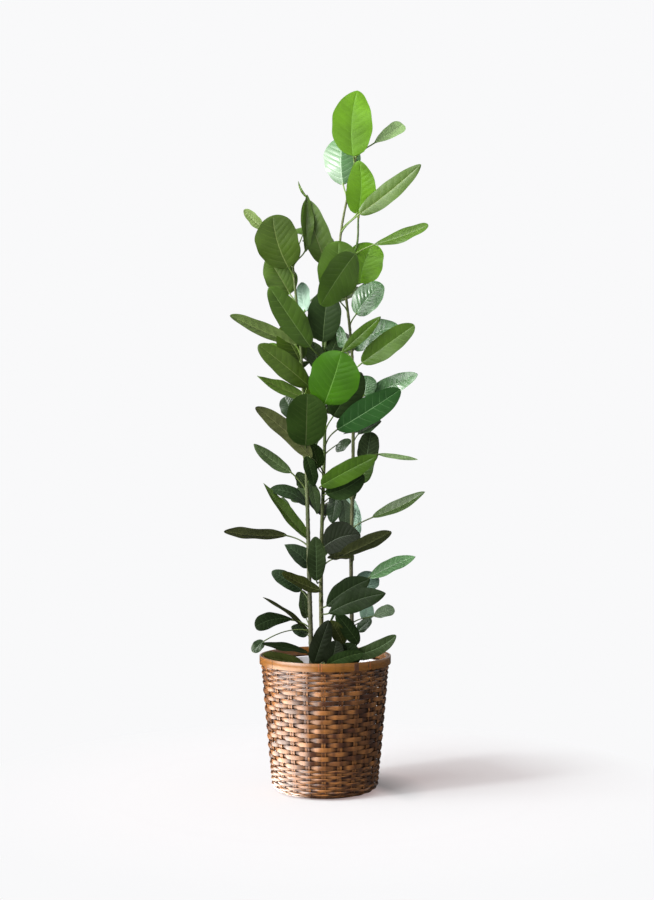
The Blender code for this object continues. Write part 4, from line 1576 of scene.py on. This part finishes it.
def crumb_arrays(edge, level):
    """Points and faces of crumbs of soil: uneven eight-sided lumps strewn inside a circle."""
    rng = np.random.default_rng(11)
    points, faces = [], []
    for _ in range(CRUMBS):
        away = edge * math.sqrt(rng.uniform(0, 1))
        angle = rng.uniform(0, 2 * math.pi)
        size = rng.uniform(*CRUMB_SIZE)
        height = level + rng.uniform(-0.001, 0.0012)
        middle = np.array([away * math.cos(angle), away * math.sin(angle), height])
        shape = rng.normal(size=(6, 3)) * 0.22 + CRUMB_CORNERS
        start = len(points)
        points += [tuple(middle + corner * size * np.array((1, 1, 0.6))) for corner in shape]
        faces += [tuple(start + corner for corner in face) for face in CRUMB_FACES]
    return points, faces


# Hoop

# Each mark's name, degrees to the right of the front, width, and height as a share of the hoop's
HOOP_MARKS = (
    ("joint_left", -51.6, 0.0007, 1.0),
    ("staple_left", -5.6, 0.0010, 1.0),
    ("joint_front", -4.2, 0.0007, 1.0),
    ("staple_right", -3.0, 0.0010, 1.0),
    ("knot_mark", 27.5, 0.0105, 1.0),
    ("joint_right", 39.6, 0.0009, 0.72),
    ("staple_far", 41.9, 0.0011, 1.0),
    ("joint_back", 128.0, 0.0009, 1.0),
    ("knot_back", 205.0, 0.0090, 1.0),
)


def hoop_plate(face, width, tall):
    """A thin plate that is bent to the hoop's face and bevelled."""
    cuts = 3
    bpy.ops.object.select_all(action="DESELECT")
    bpy.ops.mesh.primitive_cube_add(size=1.0)
    plate = bpy.context.view_layer.objects.active
    plate.scale = (0.0006, width, tall)
    settle(plate)
    bpy.ops.object.mode_set(mode="EDIT")
    bpy.ops.mesh.select_all(action="SELECT")
    bpy.ops.mesh.subdivide(number_cuts=cuts)
    for step in range(cuts + 2):
        aside = width * (step / (cuts + 1) - 0.5)
        select_vertices(plate, lambda place: abs(place.y - aside) < width / 50)
        bend = face * (math.cos(aside / HOOP_HIGH.x) - 1)
        bpy.ops.transform.translate(value=(bend, 0, 0))
    bpy.ops.object.mode_set(mode="OBJECT")
    add_modifier(plate, "BEVEL", width=0.00012, segments=2)
    apply_modifiers(plate)
    return plate


# Floor

# The colour of its glow, how far out the backdrop's own colour takes over, the colour of the glowing patch
# that paints a reflection on the bamboo, how far out that patch fades, and the squares of the heights between
# which its mirror image fades
FLOOR_GLOW_COLOR = (1.0, 0.77, 0.75)
BACKDROP_FROM = (0.45, 0.80)
PATCH_COLOR = (1.0, 0.90, 0.80)
PATCH_ENDS = (1.30, 1.90)
MIRRORED_SQUARE = (0.08, 0.13)


def along_way(tree, across, back, share_across, share_back):
    """How far a point lies along a level way."""
    return tree.math(
        "ADD", tree.math("MULTIPLY", across, share_across), tree.math("MULTIPLY", back, share_back)
    )


# Operators


class FIG_OT_materials(bpy.types.Operator):
    """Build the node groups that the materials share"""

    bl_idname = "fig.materials"
    bl_label = "Shared Finishes"

    def execute(self, context):
        make_mottle_group()
        make_bamboo_group()
        make_basket_place_group()
        make_bark_group()
        return {"FINISHED"}


class FIG_OT_stems(bpy.types.Operator):
    """Build the three stems with their bark and leaf scars"""

    bl_idname = "fig.stems"
    bl_label = "Stems"

    def execute(self, context):
        rng = np.random.default_rng(context.scene.fig_leaves.seed + 1)
        for name, plan in STEMS.items():
            stem = model_stem(f"bark_{name}", plan, rng)
            material, tree, shader, place = new_material(f"bark_{name}", 0.55, 0.35)
            group = place_group(
                tree,
                bpy.data.node_groups["Bark"],
                Vector=place,
                Low_Color=screen(plan.low_bark),
                High_Color=screen(plan.high_bark),
                Low=0.42,
                High=0.90,
            )
            tree.link(group.outputs["Color"], shader, "Base Color")
            bump(tree, group.outputs["Height"], shader, 0.0003, 0.6)
            dress(stem, [material], [plan.node])
        return {"FINISHED"}


class FIG_OT_leaves(bpy.types.Operator):
    """Build the leaves, each mass of foliage as its own piece, their stalks and the buds at the tips"""

    bl_idname = "fig.leaves"
    bl_label = "Leaves and Stalks"

    def execute(self, context):
        settings, stage = context.scene.fig_leaves, context.scene.fig_stage
        blades = leaf_blades(settings, stage)
        tints = {tint: leaf_materials(tint) for tint in LEAF_TINTS}
        masses = {name: [] for name in MASSES}
        for blade in blades:
            masses[nearest_mass(blade[1])].append(blade)
        for name, members in masses.items():
            if not members:
                raise RuntimeError(f"no leaf lies in {name}")
            self.add_mass(name, members, tints)
        self.add_stalks(blades, settings)
        self.add_buds()
        return {"FINISHED"}

    def add_mass(self, name, members, tints):
        """One piece of all the leaves in a mass, with the four materials of each tint that they use."""
        used = sorted({leaf.tint for leaf, _, _ in members})
        points, faces, parts = [], [], []
        count = 0
        for leaf, top, under in members:
            inner = under[:, 1:-1]
            points += [top.reshape(-1, 3), inner.reshape(-1, 3)]
            faces += [tuple(corner + count for corner in face) for face in LEAF_FACES]
            first = used.index(leaf.tint) * len(tints[leaf.tint])
            parts += [first + part for part in LEAF_PARTS]
            count += top.shape[0] * top.shape[1] + inner.shape[0] * inner.shape[1]
        piece = mesh_piece(name.replace("foliage", "leaves"), np.concatenate(points).tolist(), faces, parts)
        piece.data.set_sharp_from_angle(angle=math.radians(65))
        materials = [material for tint in used for material in tints[tint]]
        dress(piece, materials, [name])
        piece.data.polygons.foreach_set("material_index", parts)

    def add_stalks(self, blades, settings):
        """The stalks of all leaves, greyer on the lower half of the plant and fresher on the upper."""
        groups = {"low": [], "high": []}
        for leaf, _, _ in blades:
            groups["high" if leaf.base.z > FRESH_ABOVE else "low"].append(leaf)
        for part, leaves in groups.items():
            tubes = []
            for leaf in leaves:
                slim = 0.8 if (leaf.tip - leaf.base).length < SMALL_LEAF else 1.0
                tubes.append(stalk_tube(leaf.attach, leaf, settings.stalk_width * slim))
            piece = mesh_piece(f"stalks_{part}", *gathered(tubes))
            color = screen(STALK_COLORS[part])
            finish = (0.42, 40, 1200, 0.0001, 0.4)
            material = mottled_material(f"stalk_{part}", color, shaded(color, 0.7), *finish)
            dress(piece, [material])

    def add_buds(self):
        """The pointed sheath of the next leaf at each stem's tip, which leans over to one side."""
        tubes = []
        for plan in STEMS.values():
            line = smooth_line(plan.points, 60)
            tip, ahead = line[-1], (line[-1] - line[-3]).normalized()
            lean = ahead.orthogonal().normalized() * 0.004
            path, radii = [], []
            for step in range(11):
                t = step / 10
                path.append(tip + ahead * (BUD_LENGTH * t - 0.004) + lean * t * t)
                belly = math.sin(math.pi * (0.32 + 0.68 * t)) ** 0.8 * (1.15 - 0.5 * t)
                radii.append(max(BUD_RADIUS * belly, 0.0002))
            tubes.append(tube(path, radii, 10))
        piece = mesh_piece("buds", *gathered(tubes))
        color = screen(BUD_COLOR)
        material = mottled_material("bud", color, shaded(color, 0.75), 0.4, 60, 1300, 0.0001, 0.4)
        dress(piece, [material])


class FIG_OT_basket(bpy.types.Operator):
    """Weave the basket: weavers, upright splints and the flat base"""

    bl_idname = "fig.basket"
    bl_label = "Woven Basket"

    def execute(self, context):
        settings = context.scene.fig_basket
        tones = tuple(tuple(color) for color in (settings.light, settings.middle, settings.dark))
        rows = weave_rows(settings)
        first = 0
        zones = {"foot": settings.foot_rows, "side": settings.wide_rows, "top": settings.top_rows}
        for zone, count in zones.items():
            numbers = range(first, first + count)
            bands = [woven_band(settings, *rows[number], number % 2 == 1) for number in numbers]
            piece = join(bands, f"weavers_{zone}")
            smooth(piece, 50)
            middle, pitch = rows[first]
            origin = on_side(middle - pitch / 2, 0)[1]
            material = bamboo_material(f"bamboo_{zone}", tones, pitch, origin, 0.9)
            dress(piece, [material], ["basket"] if zone == "side" else [])
            first += count
        self.add_uprights(settings, rows, tones)
        self.add_base(tones)
        return {"FINISHED"}

    def add_uprights(self, settings, rows, tones):
        """A pair of splints for each upright, the odd ones in where the even ones are out."""
        spread = (settings.splint_width + 0.0007) / 2
        made = []
        for odd in (False, True):
            pattern = upright_splint(settings, rows, odd)
            for number in range(1 if odd else 0, settings.uprights, 2):
                for side in (-1, 1):
                    angle = FIRST_UPRIGHT + number * 2 * math.pi / settings.uprights
                    made.append(turned_copy(pattern, angle + side * spread / FOOT_RADIUS, "splint"))
            bpy.data.objects.remove(pattern)
        piece = join(made, "upright_splints")
        smooth(piece, 50)
        material = bamboo_material("bamboo_upright", tones, 0.01, 0.0, 0.7, splints=100)
        dress(piece, [material])

    def add_base(self, tones):
        """A flat coiled base under the pot, with its turns standing out below."""
        turns = 17
        turn_width = BASE_RADIUS / turns
        floor = 0.0042
        profile = [(CENTRE_RING, floor), (BASE_RADIUS * 1.015, floor), (BASE_RADIUS * 1.02, 0.0016)]
        for turn in range(turns, 0, -1):
            radius = BASE_RADIUS * turn / turns
            profile.append((radius, 0.0))
            profile.append((radius - turn_width * 0.8, 0.0002))
            profile.append((radius - turn_width * 0.9, 0.0012))
        profile[-1] = (CENTRE_RING, 0.0010)
        piece = lathe("basket_base", profile, 72, closed=False)
        smooth(piece, 40)
        material = bamboo_material("bamboo_base", tones, 0.001, 0.0, 0.1, grooves=False)
        dress(piece, [material])


class FIG_OT_hoop(bpy.types.Operator):
    """Build the rim hoop: outer and inner bands, the filling between, butt joints, staples and knot marks"""

    bl_idname = "fig.hoop"
    bl_label = "Rim Hoop"

    def execute(self, context):
        settings = context.scene.fig_basket
        hoop = tuple(settings.hoop)
        tones = (shaded(hoop, 1.12), hoop, shaded(hoop, 0.34))
        dim_tones = (shaded(hoop, 0.5), shaded(hoop, 0.3), shaded(hoop, 0.12))
        radius, low, high = HOOP_HIGH.x, HOOP_LOW.z, HOOP_HIGH.z
        bamboo = bamboo_material("hoop_bamboo", tones, 0.03, low - 0.005, 0.8, grooves=False)
        dark = bamboo_material("hoop_filling", dim_tones, 0.01, low, 0.1, grooves=False)
        # Each band's name, how deep its inner and outer faces lie, how far its top is sunk, its eased edge,
        # its material and the node that it stands for
        bands = (
            ("hoop_outer", 0.0034, 0.0, 0.0, 0.0009, bamboo, ["rim_hoop"]),
            ("hoop_inner", 0.0093, 0.0064, 0.0012, 0.0007, bamboo, []),
            ("hoop_filling", 0.0066, 0.0032, 0.0022, 0.0005, dark, []),
        )
        for name, inner, outer, sunk, ease, material, nodes in bands:
            profile = rounded_ring(radius - inner, radius - outer, low - 0.0006, high - sunk, ease)
            piece = lathe(name, profile, 176)
            smooth(piece, 40)
            dress(piece, [material], nodes)
        self.add_joints(radius, low, high)
        return {"FINISHED"}

    def add_joints(self, radius, low, high):
        """Butt joints with their staples, and the knot marks, each a thin bevelled plate on the band."""
        finishes = {
            "staple": plain_finish("hoop_staple", (168, 88, 42), 0.4),
            "joint": plain_finish("hoop_gap", (34, 22, 16), 0.6),
            "knot": plain_finish("hoop_knot", (86, 50, 28), 0.5),
        }
        face = radius + 0.0001
        for name, angle, width, share in HOOP_MARKS:
            plate = hoop_plate(face, width, (high - low) * share - 0.0012)
            plate.location = (face, 0, (low + high) / 2)
            settle(plate)
            piece = turned_copy(plate, math.radians(angle) - math.pi / 2, f"hoop_{name}")
            bpy.data.objects.remove(plate)
            dress(piece, [finishes[name.split("_")[0]]])


class FIG_OT_pot(bpy.types.Operator):
    """Build the nursery pot and the soil in it"""

    bl_idname = "fig.pot"
    bl_label = "Pot and Soil"

    def execute(self, context):
        settings = context.scene.fig_basket
        foot, top = POT_LOW.z, POT_HIGH.z
        wall, ease = 0.002, 0.0008
        collar = top - 0.0138
        foot_radius = 0.0865
        lip = POT_HIGH.x
        neck = lip - 0.005
        profile = [
            (CENTRE_RING, foot),
            (foot_radius - 0.003, foot),
            (foot_radius, foot + 0.003),
            (neck, collar - 0.0002),
            (lip - 0.0004, collar),
            (lip, collar + ease),
            (lip, top - ease),
            (lip - ease, top),
            (neck - wall + ease, top),
            (neck - wall, top - ease),
            (neck - wall - 0.0015, top - 0.016),
            (foot_radius - wall, foot + wall),
            (CENTRE_RING, foot + wall),
        ]
        pot = lathe("pot_shell", profile, 128, closed=False)
        smooth(pot, 35)
        color = tuple(settings.plastic)
        plastic = mottled_material("pot_plastic", color, shaded(color, 0.9), 0.38, 18, 1800, 0.00005)
        dress(pot, [plastic], ["nursery_pot"])
        self.add_soil(settings)
        return {"FINISHED"}

    def add_soil(self, settings):
        """A rough bed of soil with crumbs lying on it."""
        level, edge = SOIL_HIGH.z, SOIL_HIGH.x - 0.001
        rings = (0.001, 0.1, 0.2, 0.3, 0.4, 0.5, 0.6, 0.7, 0.8, 0.9, 1.0)
        profile = [(edge * share, level - 0.0035) for share in rings]
        profile += [(edge, level - 0.012), (edge * 0.86, SOIL_LOW.z), (CENTRE_RING, SOIL_LOW.z)]
        bed = lathe("soil_bed", profile, 72, closed=False)
        clods = bpy.data.textures.new("soil_clods", "CLOUDS")
        clods.noise_scale = 0.012
        top = bed.vertex_groups.new(name="top")
        upper = [vertex.index for vertex in bed.data.vertices if vertex.co.z > level - 0.004]
        top.add(upper, 1.0, "REPLACE")
        rough = {"texture": clods, "texture_coords": "LOCAL", "direction": "Z", "vertex_group": top.name}
        add_modifier(bed, "DISPLACE", strength=0.006, mid_level=0.5, **rough)
        apply_modifiers(bed)
        smooth(bed, 80)
        color = tuple(settings.soil)
        earth = mottled_material("soil", color, shaded(color, 0.35), 0.9, 160, 1400, 0.0012, 0.2)
        dress(bed, [earth], ["soil"])
        points, faces = crumb_arrays(edge * 0.97, level - 0.0030)
        crumbs = mesh_piece("soil_crumbs", points, faces)
        crumbs.data.polygons.foreach_set("use_smooth", np.zeros(len(faces), bool))
        pale, deep = shaded(color, 1.5), shaded(color, 0.4)
        crumb = mottled_material("soil_crumbs", pale, deep, 0.85, 300, 1800, 0.0004, 0.2)
        dress(crumbs, [crumb])


class FIG_OT_stage(bpy.types.Operator):
    """Set up the floor, the soft white room, the key light and the camera"""

    bl_idname = "fig.stage"
    bl_label = "Stage"

    def execute(self, context):
        settings = context.scene.fig_stage
        bpy.ops.object.select_all(action="DESELECT")
        bpy.ops.mesh.primitive_plane_add(size=80, location=(0, 0, 0))
        floor = context.view_layer.objects.active
        floor.name = "floor"
        floor.data.materials.append(self.floor_material(settings))
        self.add_light(settings)
        self.add_room(settings)
        bpy.ops.object.camera_add(
            location=(settings.across, -settings.distance, settings.height), rotation=(math.pi / 2, 0, 0)
        )
        camera = context.view_layer.objects.active
        camera.data.lens = settings.lens
        camera.data.sensor_width = LONG_SIDE_OF_SENSOR
        context.scene.camera = camera
        context.scene.view_settings.view_transform = "Standard"
        return {"FINISHED"}

    def add_light(self, settings):
        bpy.ops.object.light_add(type="SUN", location=(-2, -2, 3))
        sun = bpy.context.view_layer.objects.active
        sun.name = "key_light"
        level, drop = math.cos(settings.sun_height), math.sin(settings.sun_height)
        shines = Vector((level * math.cos(settings.sun_side), level * math.sin(settings.sun_side), -drop))
        sun.rotation_euler = shines.to_track_quat("-Z", "Y").to_euler()
        sun.data.energy = settings.sun_strength
        sun.data.angle = settings.sun_spread

    def floor_material(self, settings):
        """A pale floor. The camera sees it paler, and far from the basket it sees the backdrop's own colour.
        Near the basket's foot, on the side away from the key light, its glow is cut: a painted shadow.

        What mirrors it low down sees a glowing patch on the window's side, a painted reflection, and a dim
        floor elsewhere.
        """
        material, tree, shader, place = new_material("floor", 0.9, 0.0)
        material.cycles.emission_sampling = "NONE"
        path = tree.add("ShaderNodeLightPath")
        camera = path.outputs["Is Camera Ray"]
        away = tree.add("ShaderNodeVectorMath", operation="LENGTH")
        tree.link(place, away, 0)
        length = away.outputs["Value"]
        parts = tree.add("ShaderNodeSeparateXYZ")
        tree.link(place, parts, "Vector")
        across, back = parts.outputs[0], parts.outputs[1]
        shader.inputs["Base Color"].default_value = (*settings.floor, 1)
        shader.inputs["Emission Strength"].default_value = settings.glow
        # Painted shadow: by the basket's foot, on the side away from the key light, the camera's glow is cut
        # by up to three quarters
        lee = along_way(tree, across, back, math.cos(settings.sun_side), math.sin(settings.sun_side))
        foot = tree.range(length, FOOT_RADIUS, FOOT_RADIUS + 0.11, 1.0, 0.0)
        deep = tree.math("MULTIPLY", foot, tree.range(lee, 0.085, 0.125, 0.0, 0.75))
        glow_outside_painted_shadow = tree.math("MULTIPLY", camera, tree.math("SUBTRACT", 1.0, deep))
        tree.link(tree.mix(glow_outside_painted_shadow, (0.0, 0.0, 0.0), FLOOR_GLOW_COLOR), shader, "Emission Color")
        # Glossy rays see a glowing patch in place of the floor: a painted reflection that gives the bamboo
        # its sheen
        shine = settings.shine_side
        toward = along_way(tree, across, back, -math.sin(shine), -math.cos(shine))
        beside = tree.math("DIVIDE", toward, length)
        patch = self.mirrored_glow_patch(tree, length, beside, path.outputs["Ray Length"], settings)
        backdrop = tree.add("ShaderNodeEmission")
        backdrop.inputs["Color"].default_value = (*settings.backdrop, 1)
        far = tree.math("MULTIPLY", tree.range(length, *BACKDROP_FROM), camera)
        surface = shader.outputs[0]
        for share, other in ((path.outputs["Is Glossy Ray"], patch), (far, backdrop)):
            both = tree.add("ShaderNodeMixShader")
            tree.link(share, both, 0)
            tree.link(surface, both, 1)
            tree.link(other.outputs[0], both, 2)
            surface = both.outputs[0]
        tree.link(surface, material.node_tree.nodes["Material Output"], "Surface")
        return material

    def mirrored_glow_patch(self, tree, length, beside, ray, settings):
        """The glowing patch of floor that low bamboo mirrors, a painted reflection that only mirrors see.

        The height of the mirroring point follows from the ray's length and how far out it meets the floor.
        """
        patch = tree.add("ShaderNodeEmission")
        patch.inputs["Color"].default_value = (*PATCH_COLOR, 1)
        near = tree.range(length, *PATCH_ENDS, 1.0, 0.0)
        run = tree.math("SUBTRACT", length, 0.75 * FOOT_RADIUS)
        square = tree.math("SUBTRACT", tree.math("MULTIPLY", ray, ray), tree.math("MULTIPLY", run, run))
        low = tree.range(square, *MIRRORED_SQUARE, 1.0, 0.0)
        glowing = tree.math("MULTIPLY", tree.range(beside, 0.62, 0.95), tree.math("MULTIPLY", near, low))
        tree.link(tree.range(glowing, 0.0, 1.0, 0.08, settings.floor_shine), patch, "Strength")
        return patch

    def add_room(self, settings):
        """A white room with a wide window on the key light's side. The camera sees a clean backdrop."""
        world = bpy.data.worlds.new("room")
        world.use_nodes = True
        bpy.context.scene.world = world
        tree = Tree(world.node_tree)
        parts = tree.add("ShaderNodeSeparateXYZ")
        tree.link(tree.add("ShaderNodeTexCoord").outputs["Generated"], parts, "Vector")
        x, y, z = (parts.outputs[number] for number in range(3))
        cos, sin = math.cos(settings.window_side), math.sin(settings.window_side)
        square = tree.math("SUBTRACT", 1.0, tree.math("MULTIPLY", z, z))
        level = tree.math("SQRT", tree.math("MAXIMUM", square, 0.0001))
        beside = tree.math("DIVIDE", along_way(tree, x, y, -cos, -sin), level)
        core = tree.range(beside, 0.82, 0.93)
        wide = tree.math("ADD", tree.math("MULTIPLY", core, 0.85), tree.range(beside, 0.35, 0.80, 0.0, 0.15))
        tall = tree.range(z, 0.66, 0.84, 1.0, 0.0)
        window = tree.math("MULTIPLY", tree.math("MULTIPLY", wide, tall), settings.window_strength)
        plain = world.node_tree.nodes["Background"]
        plain.inputs["Color"].default_value = (1.0, 1.0, 1.0, 1)
        tree.link(tree.math("ADD", window, settings.sky_strength), plain, "Strength")
        seen = tree.add("ShaderNodeBackground")
        seen.inputs["Color"].default_value = (*settings.backdrop, 1)
        both = tree.add("ShaderNodeMixShader")
        tree.link(tree.add("ShaderNodeLightPath").outputs["Is Camera Ray"], both, 0)
        tree.link(plain.outputs[0], both, 1)
        tree.link(seen.outputs[0], both, 2)
        tree.link(both.outputs[0], world.node_tree.nodes["World Output"], "Surface")


STEPS = (FIG_OT_materials, FIG_OT_stems, FIG_OT_leaves, FIG_OT_basket, FIG_OT_hoop, FIG_OT_pot, FIG_OT_stage)


class FIG_PT_panel(bpy.types.Panel):
    """Lists every step of the fig"""

    bl_idname = "FIG_PT_panel"
    bl_label = "Potted Bengal Fig"
    bl_space_type = "VIEW_3D"
    bl_region_type = "UI"
    bl_category = "Fig"

    def draw(self, context):
        for step in STEPS:
            self.layout.operator(step.bl_idname)
        for group in (context.scene.fig_leaves, context.scene.fig_basket, context.scene.fig_stage):
            box = self.layout.box()
            for name in group.bl_rna.properties.keys():
                if name not in ("rna_type", "name"):
                    box.prop(group, name)


CLASSES = (FigLeafSettings, FigBasketSettings, FigStageSettings, *STEPS, FIG_PT_panel)


def register():
    for cls in CLASSES:
        bpy.utils.register_class(cls)
    bpy.types.Scene.fig_leaves = PointerProperty(type=FigLeafSettings)
    bpy.types.Scene.fig_basket = PointerProperty(type=FigBasketSettings)
    bpy.types.Scene.fig_stage = PointerProperty(type=FigStageSettings)


def unregister():
    del bpy.types.Scene.fig_leaves, bpy.types.Scene.fig_basket, bpy.types.Scene.fig_stage
    for cls in reversed(CLASSES):
        bpy.utils.unregister_class(cls)


def main():
    register()
    for step in STEPS:
        area, name = step.bl_idname.split(".")
        getattr(getattr(bpy.ops, area), name)()


if __name__ == "__main__":
    main()
